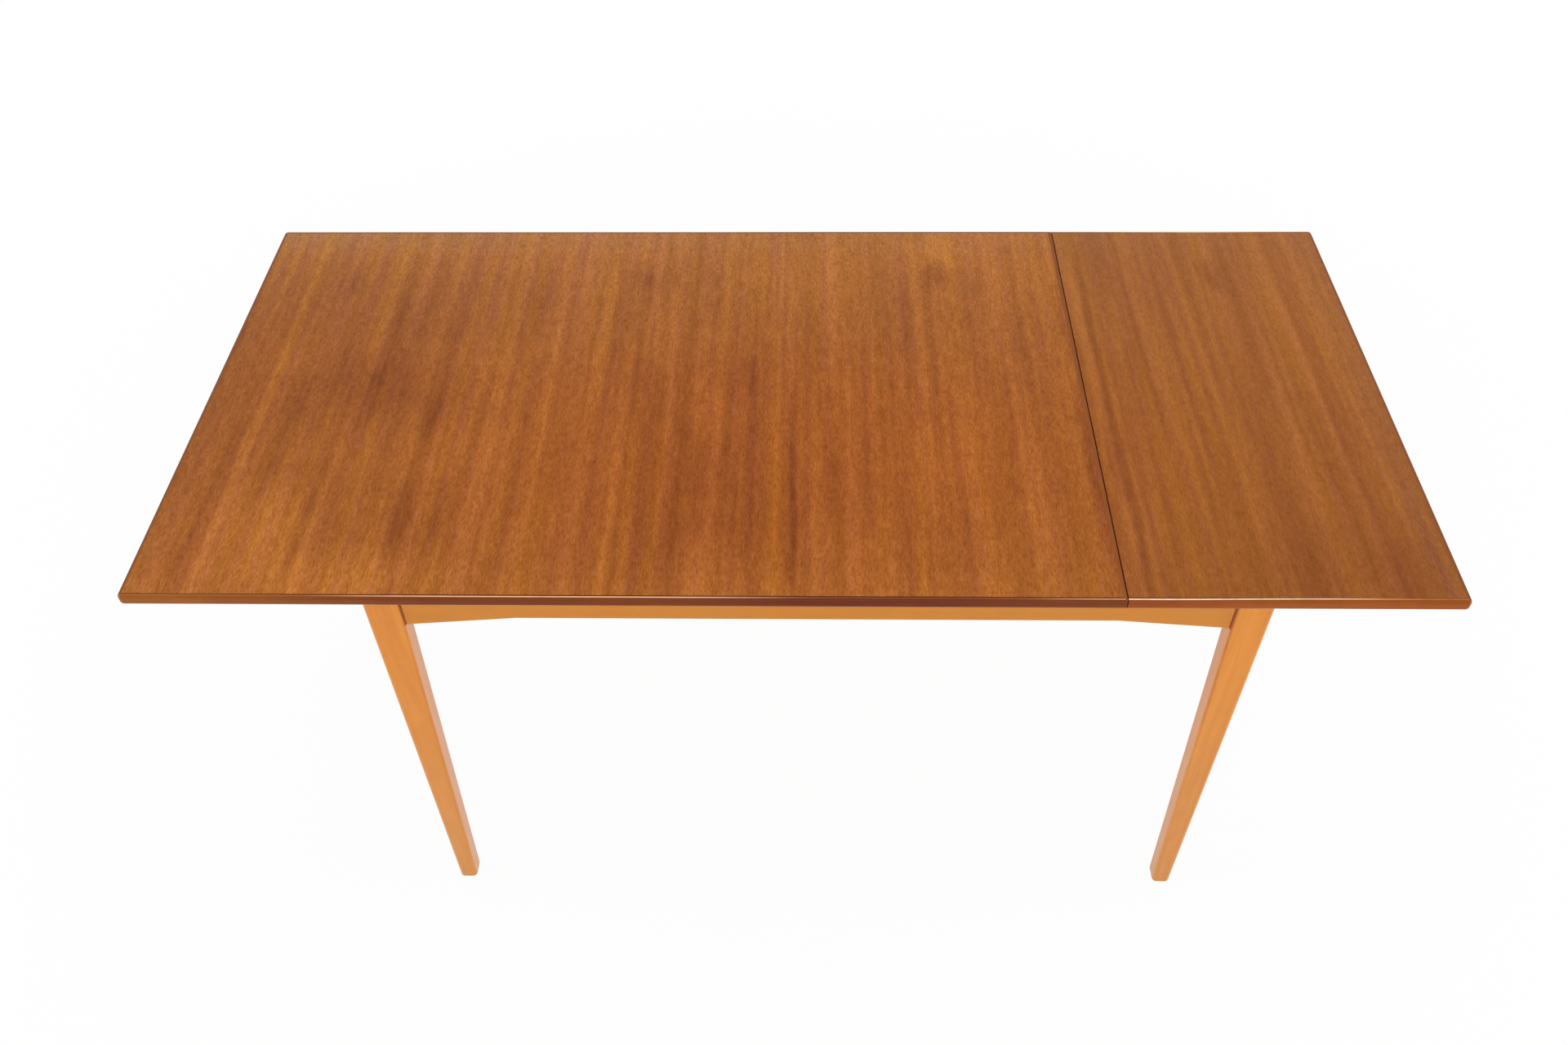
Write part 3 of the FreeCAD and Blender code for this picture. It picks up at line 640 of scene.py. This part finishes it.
# How far the stripes wander, and how often
WANDER_REACH = 7 * MM
WANDER_ALONG, WANDER_ACROSS, WANDER_SEED = 1.4, 2.5, 5

# Tints of the fine grain and of the slow changes of hue
GRAIN_TINT = (0.30, 0.58, 1.6)
EVEN = (1.0, 1.0, 1.0)
GOLDEN = (0.99, 1.01, 0.76, 1.0)
ROSY = (1.01, 0.98, 1.30, 1.0)
RED = (1.01, 0.90, 0.76, 1.0)
RED_ZONE = (((0.00, -0.14), (0.60, 0.30), 1.0),)

# Painted sheen: the reflection of the lacquer painted as a pale haze towards the back, more so on
# the left, and along both ends
PAINTED_SHEEN = rgb(170, 141, 107)
PAINTED_SHEEN_BACK = ((0.0, 0.5, 0.12), (0.30, 0.41, 0.22))
PAINTED_SHEEN_ENDS = ((-0.79, -0.83, 0.04), (0.77, 0.82, 0.07))
PAINTED_SHEEN_MIDDLE, PAINTED_SHEEN_LEAN = 0.62, 0.5

# Painted shade: a dark line on the leaf where it meets the main top, for the shade in the gap
# between them
PAINTED_SEAM_SHADE = rgb(88, 30, 4)
PAINTED_SEAM_SHADE_LINE = (0.7 * MM, 0.1 * MM)

# Marks: how often and how far their outlines bend, and where their edges and hearts lie, in
# shares of their reach
BEND_OFTEN = (16, 5, 0)
BEND_DETAIL = 4.0
BEND_ROUGHNESS = 0.65
BEND_REACH = Vector((30 * MM, 120 * MM, 0))
MARK_EDGE, MARK_HEART = 1.25, 0.2

# The two veneers. Grain is how strong the fine grain is, and lean how far it slants. Tilt makes
# the veneer evenly paler from front to back, which is painted light for the light falling more on
# the back. A strip begins to be paler at its first place along Y and is so in full from its
# second, by its third number; the main top's first strip is painted light on its back, and its
# second makes its front edge paler. Each of the marks that time has left has a middle, a reach
# and a strength.
VENEERS = {
    "main_veneer": {
        "colours": (rgb(135, 69, 26), rgb(168, 96, 37), rgb(199, 121, 49)),
        "weights": (0.22, 0.24, 0.46, 0.74, 0.42, 0.50),
        "grain": 1.22,
        "lean": 0.0,
        "painted_light_tilt": 0.0,
        "strips_with_painted_light": ((0.12, 0.40, 0.26), (-0.32, -0.39, 0.08)),
        "marks": (
            ((0.003, -0.22), (0.008, 0.18), -0.28),
            ((0.036, -0.24), (0.020, 0.18), 0.13),
            ((-0.022, -0.10), (0.011, 0.28), 0.12),
            ((-0.055, -0.13), (0.011, 0.26), -0.22),
            ((-0.120, -0.20), (0.013, 0.12), -0.15),
            ((-0.125, 0.25), (0.012, 0.12), -0.12),
            ((-0.245, -0.25), (0.012, 0.08), -0.12),
            ((-0.510, -0.055), (0.018, 0.06), -0.20),
            ((-0.510, -0.26), (0.018, 0.08), -0.22),
            ((-0.455, -0.24), (0.015, 0.11), -0.20),
            ((-0.385, 0.19), (0.012, 0.13), -0.13),
            ((-0.575, 0.085), (0.015, 0.13), -0.16),
            ((0.155, 0.175), (0.007, 0.14), -0.12),
            ((0.335, 0.10), (0.008, 0.12), -0.12),
            ((0.406, -0.24), (0.010, 0.20), -0.26),
            ((0.407, 0.14), (0.008, 0.40), -0.26),
            ((-0.760, 0.00), (0.007, 0.50), -0.24),
            ((-0.778, -0.05), (0.007, 0.45), 0.12),
            ((0.310, -0.22), (0.030, 0.18), 0.09),
            ((-0.630, -0.20), (0.045, 0.07), -0.12),
            ((-0.280, 0.15), (0.014, 0.19), 0.18),
            ((0.240, 0.30), (0.030, 0.12), 0.20),
            ((-0.005, 0.12), (0.009, 0.25), 0.20),
            ((-0.735, 0.09), (0.015, 0.21), 0.12),
            ((-0.470, -0.14), (0.015, 0.16), 0.12),
            ((0.185, -0.10), (0.015, 0.13), 0.10),
            ((-0.700, -0.27), (0.075, 0.10), 0.20),
            ((-0.560, -0.350), (0.14, 0.055), 0.24),
            ((0.300, 0.24), (0.032, 0.22), 0.20),
            ((-0.200, 0.15), (0.032, 0.11), 0.14),
            ((-0.610, 0.00), (0.13, 0.11), -0.26),
            ((-0.550, 0.17), (0.07, 0.17), -0.14),
            ((-0.800, 0.03), (0.05, 0.28), -0.08),
            ((-0.822, -0.02), (0.022, 0.55), -0.18),
            ((-0.075, 0.03), (0.065, 0.070), -0.14),
            ((-0.235, 0.27), (0.022, 0.040), -0.26),
            ((0.222, 0.265), (0.026, 0.044), -0.36),
            ((-0.690, 0.27), (0.022, 0.040), -0.20),
            ((-0.190, 0.26), (0.09, 0.06), -0.12),
            ((0.245, 0.26), (0.06, 0.06), -0.10),
            ((-0.210, 0.00), (0.045, 0.06), -0.08),
            ((-0.050, -0.20), (0.24, 0.14), -0.10),
        ),
    },
    "leaf_veneer": {
        "colours": (rgb(131, 67, 26), rgb(163, 94, 36), rgb(193, 119, 48)),
        "weights": (0.08, 0.09, 0.44, 0.74, 0.40, 0.30),
        "grain": 0.88,
        "lean": 0.012,
        "painted_light_tilt": 0.22,
        "strips_with_painted_light": (),
        "marks": (
            ((0.446, 0.04), (0.008, 0.56), -0.27),
            ((0.449, -0.31), (0.007, 0.14), -0.12),
            ((0.434, -0.32), (0.007, 0.13), 0.20),
            ((0.426, -0.20), (0.007, 0.26), 0.20),
            ((0.430, 0.12), (0.008, 0.34), 0.15),
            ((0.467, -0.30), (0.006, 0.12), 0.18),
            ((0.483, -0.29), (0.009, 0.14), -0.14),
            ((0.480, 0.16), (0.010, 0.16), 0.16),
            ((0.700, -0.35), (0.120, 0.10), -0.12),
            ((0.510, -0.05), (0.010, 0.32), -0.10),
            ((0.600, 0.02), (0.030, 0.34), 0.08),
            ((0.650, -0.10), (0.011, 0.30), -0.10),
            ((0.795, -0.31), (0.045, 0.10), -0.12),
            ((0.650, 0.27), (0.024, 0.050), -0.24),
            ((0.540, 0.00), (0.014, 0.32), 0.08),
            ((0.690, 0.05), (0.012, 0.32), 0.08),
        ),
    },
}


def marks_of(graph, marks):
    """Sum of soft streaks and patches with bent outlines."""
    point = graph.point()
    bend = graph.node("ShaderNodeTexNoise", {},
                      {"Vector": graph.vector("MULTIPLY", point, BEND_OFTEN), "Scale": 1.0,
                       "Detail": BEND_DETAIL, "Roughness": BEND_ROUGHNESS}, "Color")
    shift = graph.vector("MULTIPLY_ADD", bend, BEND_REACH, -BEND_REACH / 2)
    bent = graph.vector("ADD", point, shift)
    total = 0.0
    for (middle_x, middle_y), (reach_x, reach_y), strength in marks:
        scale = (1 / reach_x, 1 / reach_y, 0)
        offset = (-middle_x / reach_x, -middle_y / reach_y, 0)
        distance = graph.length(graph.vector("MULTIPLY_ADD", bent, scale, offset))
        total = total + graph.rise(distance, MARK_EDGE, MARK_HEART, strength)
    return total


def veneer(name, look):
    """Straight-grained, striped veneer under a satin lacquer. The grain runs along Y."""
    material = bpy.data.materials.new(name)
    graph = Graph(material)
    x, y, z = graph.places()
    wander = graph.noise(y * WANDER_ALONG, x * WANDER_ACROSS, WANDER_SEED, 1.0) - 0.5
    across = x + z + wander * WANDER_REACH + y * look["lean"]

    def layer(often_across, often_along, seed, detail):
        return graph.noise(y * often_along, across * often_across, seed, detail) - 0.5

    # Painted light: the tilt and the back strip make the veneer paler where more light falls,
    # towards the back; the front strip makes the front edge paler
    tone = 0.5 + y * look["painted_light_tilt"] + graph.rises(y, look["strips_with_painted_light"])
    for settings, weight in zip(FIGURE, look["weights"]):
        tone = tone + layer(*settings) * weight
    colour = graph.ramp(tone + marks_of(graph, look["marks"]), *look["colours"])
    colour = graph.mix(marks_of(graph, RED_ZONE), colour, RED, "MULTIPLY")
    # Painted sheen: paler towards the back, more so on the left, and along both ends of the top
    painted_sheen_share = graph.rises(y, PAINTED_SHEEN_BACK) * (PAINTED_SHEEN_MIDDLE - x * PAINTED_SHEEN_LEAN) + graph.rises(x, PAINTED_SHEEN_ENDS)
    colour = graph.mix(painted_sheen_share, colour, PAINTED_SHEEN)
    # Painted shade of the gap at the seam: a dark line on the leaf's edge
    colour = graph.mix(graph.rise(x - SEAM, *PAINTED_SEAM_SHADE_LINE) * (x > SEAM), colour, PAINTED_SEAM_SHADE)

    flecks = layer(*FLECKS)
    fine = layer(*FINE_GRAIN)
    pores = graph.rise(layer(*PORES), *PORE_LEVELS)
    texture = (flecks + fine * FINE_SHARE - pores * PORE_SHARE) * look["grain"] + GRAIN_LIFT
    tint = graph.vector("MULTIPLY_ADD", texture, GRAIN_TINT, EVEN)
    colour = graph.vector("MULTIPLY", colour, tint)
    hue = graph.mix(graph.rise(layer(*HUE), *HUE_LEVELS), GOLDEN, ROSY)
    colour = graph.mix(1.0, colour, hue, "MULTIPLY")
    graph.surface(Base_Color=colour,
                  Roughness=VENEER_ROUGH + flecks * ROUGH_BY_FLECKS + pores * ROUGH_BY_PORES,
                  Normal=graph.bump((flecks + fine) * GRAIN_HEIGHT - pores * PORE_HEIGHT),
                  Specular_IOR_Level=VENEER_SPECULAR)
    return material


# Solid woods, with layers of noise as above

DRIFT = (5, 1.6, 2, 1.0)
BROAD = (24, 1.1, 3, 2.0)
LINES = (800, 11, 5, 1.0)
WOOD_FLECKS = (1400, 160, 7, 1.0)
MOTTLE = (55, 28, 11, 3.0)
FLECK_LEVELS = (0.08, 0.25)
STRIPES_ACROSS, STRIPES_ALONG, STRIPES_BEND = 150, 4, 8
MOTTLE_SHARE, FLECK_SHARE = 0.3, 0.12
ROUGH_BY_MOTTLE = 0.15
LINE_HEIGHT, MOTTLE_HEIGHT = 0.4, 0.3


def grain_places(graph, axis):
    """Places along, across and through the grain that runs along an axis."""
    x, y, z = graph.places()
    return {"x": (x, y, z), "y": (y, x, z), "z": (z, x, y)}[axis]


def solid_wood(name, axis, look):
    """Solid wood with its grain along one axis, lacquered. A look's detail alters its colour."""
    material = bpy.data.materials.new(name)
    graph = Graph(material)
    along, across, through = grain_places(graph, axis)

    def layer(often_across, often_along, seed, detail):
        return graph.noise(along * often_along + seed, across * often_across,
                           through * often_across, detail) - 0.5

    stripes = graph.noise(along * STRIPES_ALONG,
                          across * STRIPES_ACROSS + layer(*DRIFT) * STRIPES_BEND,
                          through * STRIPES_ACROSS, 2.0) - 0.5
    lines = layer(*LINES)
    flecks = graph.rise(layer(*WOOD_FLECKS), *FLECK_LEVELS)
    mottle = layer(*MOTTLE)
    tone = 0.5 + layer(*BROAD) * look["broad"] + (stripes + lines) * look["narrow"]
    tone = tone + mottle * MOTTLE_SHARE - flecks * FLECK_SHARE
    colour = graph.ramp(tone, *look["colours"])
    if "detail" in look:
        colour = look["detail"](graph, colour, mottle, look)
    graph.surface(Base_Color=colour, Roughness=look["rough"] + mottle * ROUGH_BY_MOTTLE,
                  Normal=graph.bump(lines * LINE_HEIGHT + mottle * MOTTLE_HEIGHT - flecks),
                  Specular_IOR_Level=look["specular"])
    return material


# Long edges of the top. A stretch or a reach, here and below, is where a change begins and where
# it is full, and last its strength where that isn't 1.
PALE_END = (1.75, 2.4, 2.4, 1.0)
PALE_STRETCH = (-0.42, -0.80)
PURPLE = (0.80, 0.60, 0.62, 1.0)
PURPLE_MIDDLE = 0.10
PURPLE_REACH = (0.26, 0.04)
LEAF_PURPLE_STRETCH = (SEAM + 0.18, SEAM + 0.04, 0.5)
# A dark glue line between veneer and lipping, darkened further as painted shade of the small groove
# there
GLUE_LINE_AND_SHADE = rgb(92, 38, 12)
GLUE_AND_SHADE_REACH = (1.4 * MM, 0.6 * MM, 0.85)

# The worn line on the upper arris with its painted highlight, as ways out from the panel
PANEL_EDGE = FACE_HIGH.y
ARRIS_FOOT = FACE_HIGH.z - UPPER_ARRIS
ARRIS_RISE = 2 * MM
WEAR_AND_HIGHLIGHT_START = (1.7 * MM, 2.2 * MM)
WEAR_AND_HIGHLIGHT_END = (3.8 * MM, 3.0 * MM)
WEAR_AND_HIGHLIGHT_DRIFT = (SEAM + 0.03, SEAM + 0.26, 1.5 * MM)
WEAR_AND_HIGHLIGHT_BY_SEAM = (SEAM - 0.14, SEAM - 0.03, 0.5)
WEAR_AND_HIGHLIGHT_TAIL = rgb(226, 150, 84)
WEAR_AND_HIGHLIGHT_TAIL_STRETCH = (SEAM + 0.22, SEAM + 0.34)
BREAKS_OFTEN = 70
BREAKS_BY_MOTTLE = 0.4


def long_edge_detail(graph, colour, mottle, look):
    """Front or back lipping: a dark glue line with painted shade of its groove, and a worn upper
    arris with a painted highlight.
    """
    x, y, z = graph.places()
    colour = graph.mix(graph.rise(x, *PALE_STRETCH), colour, PALE_END, "MULTIPLY")
    purple = graph.rise(abs(x - PURPLE_MIDDLE), *PURPLE_REACH)
    purple = purple + graph.rise(x, *LEAF_PURPLE_STRETCH) * (x > SEAM)
    colour = graph.mix(purple, colour, PURPLE, "MULTIPLY")
    out = abs(y) - PANEL_EDGE
    # Dark glue line with painted shade of the groove between veneer and lipping
    colour = graph.mix(graph.rise(out, *GLUE_AND_SHADE_REACH), colour, GLUE_LINE_AND_SHADE)

    # Worn, paler wood on the upper arris together with a painted highlight, strongest where the
    # lamps above would glint on it
    rubbed = look["rubbed"]
    out = out + graph.rise(x, *WEAR_AND_HIGHLIGHT_DRIFT)
    line = graph.rise(out, *WEAR_AND_HIGHLIGHT_START) * graph.rise(out, *WEAR_AND_HIGHLIGHT_END)
    line = line * graph.rise(z, ARRIS_FOOT, ARRIS_FOOT + ARRIS_RISE)
    near = graph.rise(abs(x - rubbed["middle"]), *rubbed["reach"])
    share = rubbed["least"] + near * (1 - rubbed["least"])
    share = share + graph.rise(x, *WEAR_AND_HIGHLIGHT_BY_SEAM) * (SEAM > x)
    patches = graph.noise(x * BREAKS_OFTEN, y, z, 3.0) + mottle * BREAKS_BY_MOTTLE
    whole = graph.rise(patches, 0.5 - rubbed["breaks"], 0.5, rubbed["breaks"])
    tint = graph.mix(graph.rise(x, *WEAR_AND_HIGHLIGHT_TAIL_STRETCH), rubbed["colour"], WEAR_AND_HIGHLIGHT_TAIL)
    return graph.mix(line * share * (1 - rubbed["breaks"] + whole), colour, tint)


# Edges across the ends of the top
END_DARK = rgb(112, 62, 24)
TOP_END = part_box("leaf_end_lipping")[1].x
END_DARK_REACH = (TOP_END - 4.8 * MM, TOP_END - 3.2 * MM, 0.9)
# Painted shade of the gap at the seam, on the main top's edge
PAINTED_SEAM_SHADE_REACH = (1.9 * MM, 1.2 * MM)


def side_detail(graph, colour, mottle, look):
    """Lipping across an end: darker outside, and painted shade of the seam's gap where the main top
    meets the leaf.
    """
    x, y, z = graph.places()
    colour = graph.mix(graph.rise(abs(x), *END_DARK_REACH), colour, END_DARK)
    # Painted shade where the main top meets the leaf
    return graph.mix(graph.rise(abs(x - SEAM), *PAINTED_SEAM_SHADE_REACH), colour, PAINTED_SEAM_SHADE)


# Legs
LEG_BACK = -LEG_HIGH.y
RAIL_FACE = -RAIL_LOW.y
LEG_OUTSIDE = LEG_HIGH.x - FRAME_MIDDLE
LEG_WIDTH = LEG_HIGH.x - LEG_LOW.x
TAPER = (LEG_WIDTH - FOOT_WIDTH) / RAIL_LOW.z
# Painted sheen: the leg paler and less yellow towards the foot
PAINTED_FOOT_SHEEN = (0.90, 0.98, 1.9, 1.0)
PAINTED_FOOT_SHEEN_STRETCH = (0.66, 0.05)
PAINTED_FOOT_SHEEN_BY_MOTTLE = 0.1
# Painted sheen: a pale reflection painted on the inner faces, stronger on the left leg
PAINTED_INNER_SHEEN = rgb(236, 192, 166)
PAINTED_INNER_SHEEN_REACH = (1.4 * MM, 0.3 * MM)
PAINTED_INNER_SHEEN_LEFT, PAINTED_INNER_SHEEN_LESS_RIGHT = 0.32, 0.16
# Painted shade: a broken darker line along the rounded inner arris, stronger on the right leg
ARRIS_SHADE = rgb(168, 96, 36)
ARRIS_SHADE_START = (0.3 * MM, 1.2 * MM)
ARRIS_SHADE_END = (4.2 * MM, 2.2 * MM)
ARRIS_SHADE_STRETCH = (0.05, 0.55)
ARRIS_SHADE_LEFT, ARRIS_SHADE_MORE_RIGHT = 0.3, 0.4
ARRIS_SHADE_WHOLE, ARRIS_SHADE_BROKEN = 0.35, 0.65
ARRIS_SHADE_ALONG, ARRIS_SHADE_ACROSS = 14, 20
ARRIS_SHADE_LEVELS = (0.3, 0.6)
# Painted shade: a dark strip on the leg's inner face beside the rail
LEG_JOINT_SHADE_REACH = (2.2 * MM, 1.2 * MM, 0.9)
JOINT_MARGIN = 1 * MM

# Rails, and the painted shade where their shoulders meet the legs
JOINT_SHADE = rgb(148, 68, 8)
SHOULDER_SHADE_REACH = (1.8 * MM, 0.8 * MM, 0.85)


def leg_detail(graph, colour, mottle, look):
    """Leg: paler and less yellow towards the foot as painted sheen, painted sheen on the inner
    face, painted shade along the inner arris and a line of painted shade by the rail.
    """
    x, y, z = graph.places()
    # Painted sheen, paler and less yellow towards the foot
    low = graph.rise(z + mottle * PAINTED_FOOT_SHEEN_BY_MOTTLE, *PAINTED_FOOT_SHEEN_STRETCH)
    colour = graph.mix(low, colour, PAINTED_FOOT_SHEEN, "MULTIPLY")
    width = FOOT_WIDTH + graph.math("MINIMUM", z, RAIL_LOW.z) * TAPER
    inside = abs(x - FRAME_MIDDLE) - (LEG_OUTSIDE - width)
    on_right = x > 0
    # Painted sheen on the inner face
    face = graph.rise(inside, *PAINTED_INNER_SHEEN_REACH) * (PAINTED_INNER_SHEEN_LEFT - on_right * PAINTED_INNER_SHEEN_LESS_RIGHT)
    colour = graph.mix(face, colour, PAINTED_INNER_SHEEN)
    # Painted shade along the rounded inner arris
    line = graph.rise(inside, *ARRIS_SHADE_START) * graph.rise(inside, *ARRIS_SHADE_END)
    patches = graph.noise(z * ARRIS_SHADE_ALONG, x * ARRIS_SHADE_ACROSS, y * ARRIS_SHADE_ACROSS, 3.0)
    broken = graph.rise(patches, *ARRIS_SHADE_LEVELS, ARRIS_SHADE_BROKEN)
    line = line * (ARRIS_SHADE_WHOLE + broken) * graph.rise(z, *ARRIS_SHADE_STRETCH)
    colour = graph.mix(line * (ARRIS_SHADE_LEFT + on_right * ARRIS_SHADE_MORE_RIGHT), colour, ARRIS_SHADE)
    # Painted shade on the leg's inner face beside the rail
    joint_shade = graph.rise(inside, *LEG_JOINT_SHADE_REACH) * (z > RAIL_LOW.z)
    return graph.mix(joint_shade * (abs(y) > RAIL_FACE - JOINT_MARGIN), colour, JOINT_SHADE)


def rail_detail(graph, colour, mottle, look):
    """Rail with painted shade, a dark line where its shoulders meet the legs."""
    x, y, z = graph.places()
    along = abs(abs(x - FRAME_MIDDLE) - (LEG_OUTSIDE - LEG_WIDTH))
    across = abs(abs(y) - LEG_BACK)
    from_leg = graph.math("MINIMUM", along, across)
    # Painted shade by the shoulders
    return graph.mix(graph.rise(from_leg, *SHOULDER_SHADE_REACH), colour, JOINT_SHADE)


WOODS = {
    "main_lipping": {
        "colours": (rgb(92, 36, 6), rgb(116, 54, 14), rgb(142, 76, 26)),
        "broad": 0.3, "narrow": 0.3, "rough": 0.30, "specular": 0.12,
        "detail": long_edge_detail,
        # Colour, place and breaks of the worn upper arris with its painted highlight
        "rubbed": {"colour": rgb(238, 184, 138), "middle": -0.29, "reach": (0.33, 0.154),
                   "least": 0.12, "breaks": 0.5},
    },
    "leaf_lipping": {
        "colours": (rgb(124, 56, 6), rgb(152, 78, 20), rgb(176, 100, 36)),
        "broad": 0.3, "narrow": 0.3, "rough": 0.30, "specular": 0.12,
        "detail": long_edge_detail,
        # Colour, place and breaks of the worn upper arris with its painted highlight
        "rubbed": {"colour": rgb(255, 228, 196), "middle": 0.57, "reach": (0.255, 0.119),
                   "least": 0.45, "breaks": 0.15},
    },
    "side_lipping": {
        "colours": (rgb(124, 62, 18), rgb(147, 80, 30), rgb(170, 104, 44)),
        "broad": 0.3, "narrow": 0.3, "rough": 0.36, "specular": 0.12,
        "detail": side_detail,
    },
    "leg_wood": {
        "colours": (rgb(198, 110, 20), rgb(217, 133, 32), rgb(233, 154, 52)),
        "broad": 0.75, "narrow": 0.4, "rough": 0.34, "specular": 0.4,
        "detail": leg_detail,
    },
    "rail_wood": {
        "colours": (rgb(184, 106, 22), rgb(203, 127, 34), rgb(218, 145, 54)),
        "broad": 0.4, "narrow": 0.25, "rough": 0.38, "specular": 0.3,
        "detail": rail_detail,
    },
    "inner_hardwood": {
        "colours": (rgb(150, 104, 60), rgb(198, 152, 100), rgb(222, 182, 132)),
        "broad": 0.6, "narrow": 0.4, "rough": 0.6, "specular": 0.3,
    },
    "backing_veneer": {
        "colours": (rgb(110, 66, 34), rgb(150, 98, 54), rgb(180, 126, 76)),
        "broad": 0.6, "narrow": 0.3, "rough": 0.55, "specular": 0.3,
    },
    "panel_core": {
        "colours": (rgb(150, 120, 80), rgb(190, 158, 112), rgb(214, 186, 142)),
        "broad": 0.6, "narrow": 0.3, "rough": 0.8, "specular": 0.2,
    },
}


@functools.cache
def wood(look, axis):
    """The finish of a wood with its grain along an axis, made once."""
    return solid_wood(f"{look}_{axis}_finish", axis, WOODS[look])


@functools.cache
def face_veneer(look):
    """The finish of a face veneer, made once."""
    return veneer(look + "_finish", VENEERS[look])


# Screws
STEEL_DARK, STEEL_LIGHT = rgb(120, 114, 104), rgb(190, 186, 178)
STEEL_MARKS = 400
STEEL_ROUGH, STEEL_ROUGH_SPREAD = 0.38, 0.3


@functools.cache
def screw_steel():
    """Dull steel with fine turning marks, made once."""
    material = bpy.data.materials.new("screw_steel_finish")
    graph = Graph(material)
    x, y, z = graph.places()
    cloud = graph.noise(x * STEEL_MARKS, y * STEEL_MARKS, z * STEEL_MARKS, 3.0) - 0.5
    colour = graph.ramp(0.5 + cloud, STEEL_DARK, STEEL_LIGHT)
    graph.surface(Base_Color=colour, Metallic=1.0,
                  Roughness=STEEL_ROUGH + cloud * STEEL_ROUGH_SPREAD)
    return material


def long_axis(node):
    """Letter of the axis along which a node is longest."""
    low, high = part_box(node)
    span = high - low
    return "xyz"[max(range(3), key=lambda index: span[index])]


# Dressing the frame

top_edges()
for name, node in frame["nodes"].items():
    slot = slot_of(name)
    if slot == "leg_wood":
        leg(name, wood(slot, "z"))
    elif slot in ("rail_wood", "inner_hardwood"):
        planed(name, wood(slot, long_axis(name)))
    elif slot == "screw_steel":
        screw_set(name, screw_steel())
    elif slot in VENEERS:
        node.data.materials[0] = face_veneer(slot)
    elif slot in ("backing_veneer", "panel_core"):
        node.data.materials[0] = wood(slot, "y")


# Stage

WHITE = (1.0, 1.0, 1.0, 1.0)
AMBIENT = 0.7
FLOOR_SIZE = 30
FLOOR_SHADE = (0.85, 0.85, 0.85, 1.0)
GLOW_NEAR = 0.955
GLOW_STRETCH = (1.2, 2.6)

# Lamps: place, target, width, depth and power in watts
LAMPS = {
    "left_window": ((-0.68, -0.39, 2.9), (-0.68, -0.39, 0.7), 0.96, 0.3, 5),
    "right_window": ((1.2, -0.39, 2.9), (1.2, -0.39, 0.7), 0.76, 0.3, 4),
    "front": ((-0.1, -3.4, 1.5), (0, 0, 0.45), 2.6, 1.8, 28),
    "left_fill": ((-2.9, -0.5, 0.7), (0, 0, 0.3), 1.6, 1.0, 24),
    "right_fill": ((2.9, -0.5, 0.7), (0, 0, 0.3), 1.6, 1.0, 28),
}


def seen_ray(graph):
    """1 for rays from the camera, from gloss and through glass, and 0 for light that bounces."""
    path = graph.node("ShaderNodeLightPath").outputs()
    by_name = {wire.socket.name: wire for wire in path}
    seen = by_name["Is Camera Ray"] + by_name["Is Glossy Ray"] + by_name["Is Transmission Ray"]
    return graph.math("MINIMUM", seen, 1.0)


def make_world():
    world = bpy.data.worlds.new("studio")
    bpy.context.scene.world = world
    graph = Graph(world)
    strength = AMBIENT + (1 - AMBIENT) * seen_ray(graph)
    light = graph.node("ShaderNodeBackground", {}, {"Color": WHITE, "Strength": strength})
    graph.node("ShaderNodeOutputWorld", {}, {"Surface": light})


def make_floor():
    """Pale floor that fades into the white background and lets a view from below through."""
    choose_only()
    bpy.ops.mesh.primitive_plane_add(size=FLOOR_SIZE, location=(0, 0, 0))
    floor = named("floor")
    material = bpy.data.materials.new("floor_finish")
    graph = Graph(material)
    distance = graph.length(graph.point())
    glow = GLOW_NEAR + graph.rise(distance, *GLOW_STRETCH, 1 - GLOW_NEAR)
    matt = graph.node("ShaderNodeBsdfDiffuse", {}, {"Color": FLOOR_SHADE})
    bright = graph.node("ShaderNodeEmission", {}, {"Color": WHITE, "Strength": 1.0})
    top = graph.node("ShaderNodeMixShader", {}, {0: glow * seen_ray(graph), 1: matt, 2: bright})
    clear = graph.node("ShaderNodeBsdfTransparent")
    behind = graph.node("ShaderNodeNewGeometry", output="Backfacing")
    surface = graph.node("ShaderNodeMixShader", {}, {0: behind, 1: top, 2: clear})
    graph.node("ShaderNodeOutputMaterial", {}, {"Surface": surface})
    floor.data.materials.append(material)


def area_light(name, place, target, width, depth, power):
    lamp = bpy.data.lights.new(name, "AREA")
    lamp.shape = "RECTANGLE"
    lamp.size = width
    lamp.size_y = depth
    lamp.energy = power
    holder = bpy.data.objects.new(name, lamp)
    bpy.context.scene.collection.objects.link(holder)
    holder.location = place
    holder.rotation_euler = (Vector(target) - Vector(place)).to_track_quat("-Z", "Y").to_euler()


# Camera, solved from the photograph's corners of the top, the seam, the legs and the feet
CAMERA_PLACE = Vector((0.02354, -1.46667, 2.00762))
CAMERA_YAW = math.radians(1.4844)
CAMERA_PITCH = math.radians(46.4497)
CAMERA_ROLL = math.radians(0.8856)
FOCAL_PIXELS = 1656.91
PHOTO_WIDTH = 1920
SENSOR = 36


def make_camera():
    data = bpy.data.cameras.new("camera")
    data.sensor_width = SENSOR
    data.lens = SENSOR * FOCAL_PIXELS / PHOTO_WIDTH
    camera = bpy.data.objects.new("camera", data)
    bpy.context.scene.collection.objects.link(camera)
    camera.matrix_world = (
        Matrix.Translation(CAMERA_PLACE)
        @ Matrix.Rotation(CAMERA_YAW, 4, "Z")
        @ Matrix.Rotation(math.pi / 2 - CAMERA_PITCH, 4, "X")
        @ Matrix.Rotation(-CAMERA_ROLL, 4, "Z")
    )
    bpy.context.scene.camera = camera


make_world()
make_floor()
for name, settings in LAMPS.items():
    area_light(name, *settings)
make_camera()
bpy.context.scene.view_settings.view_transform = "Standard"
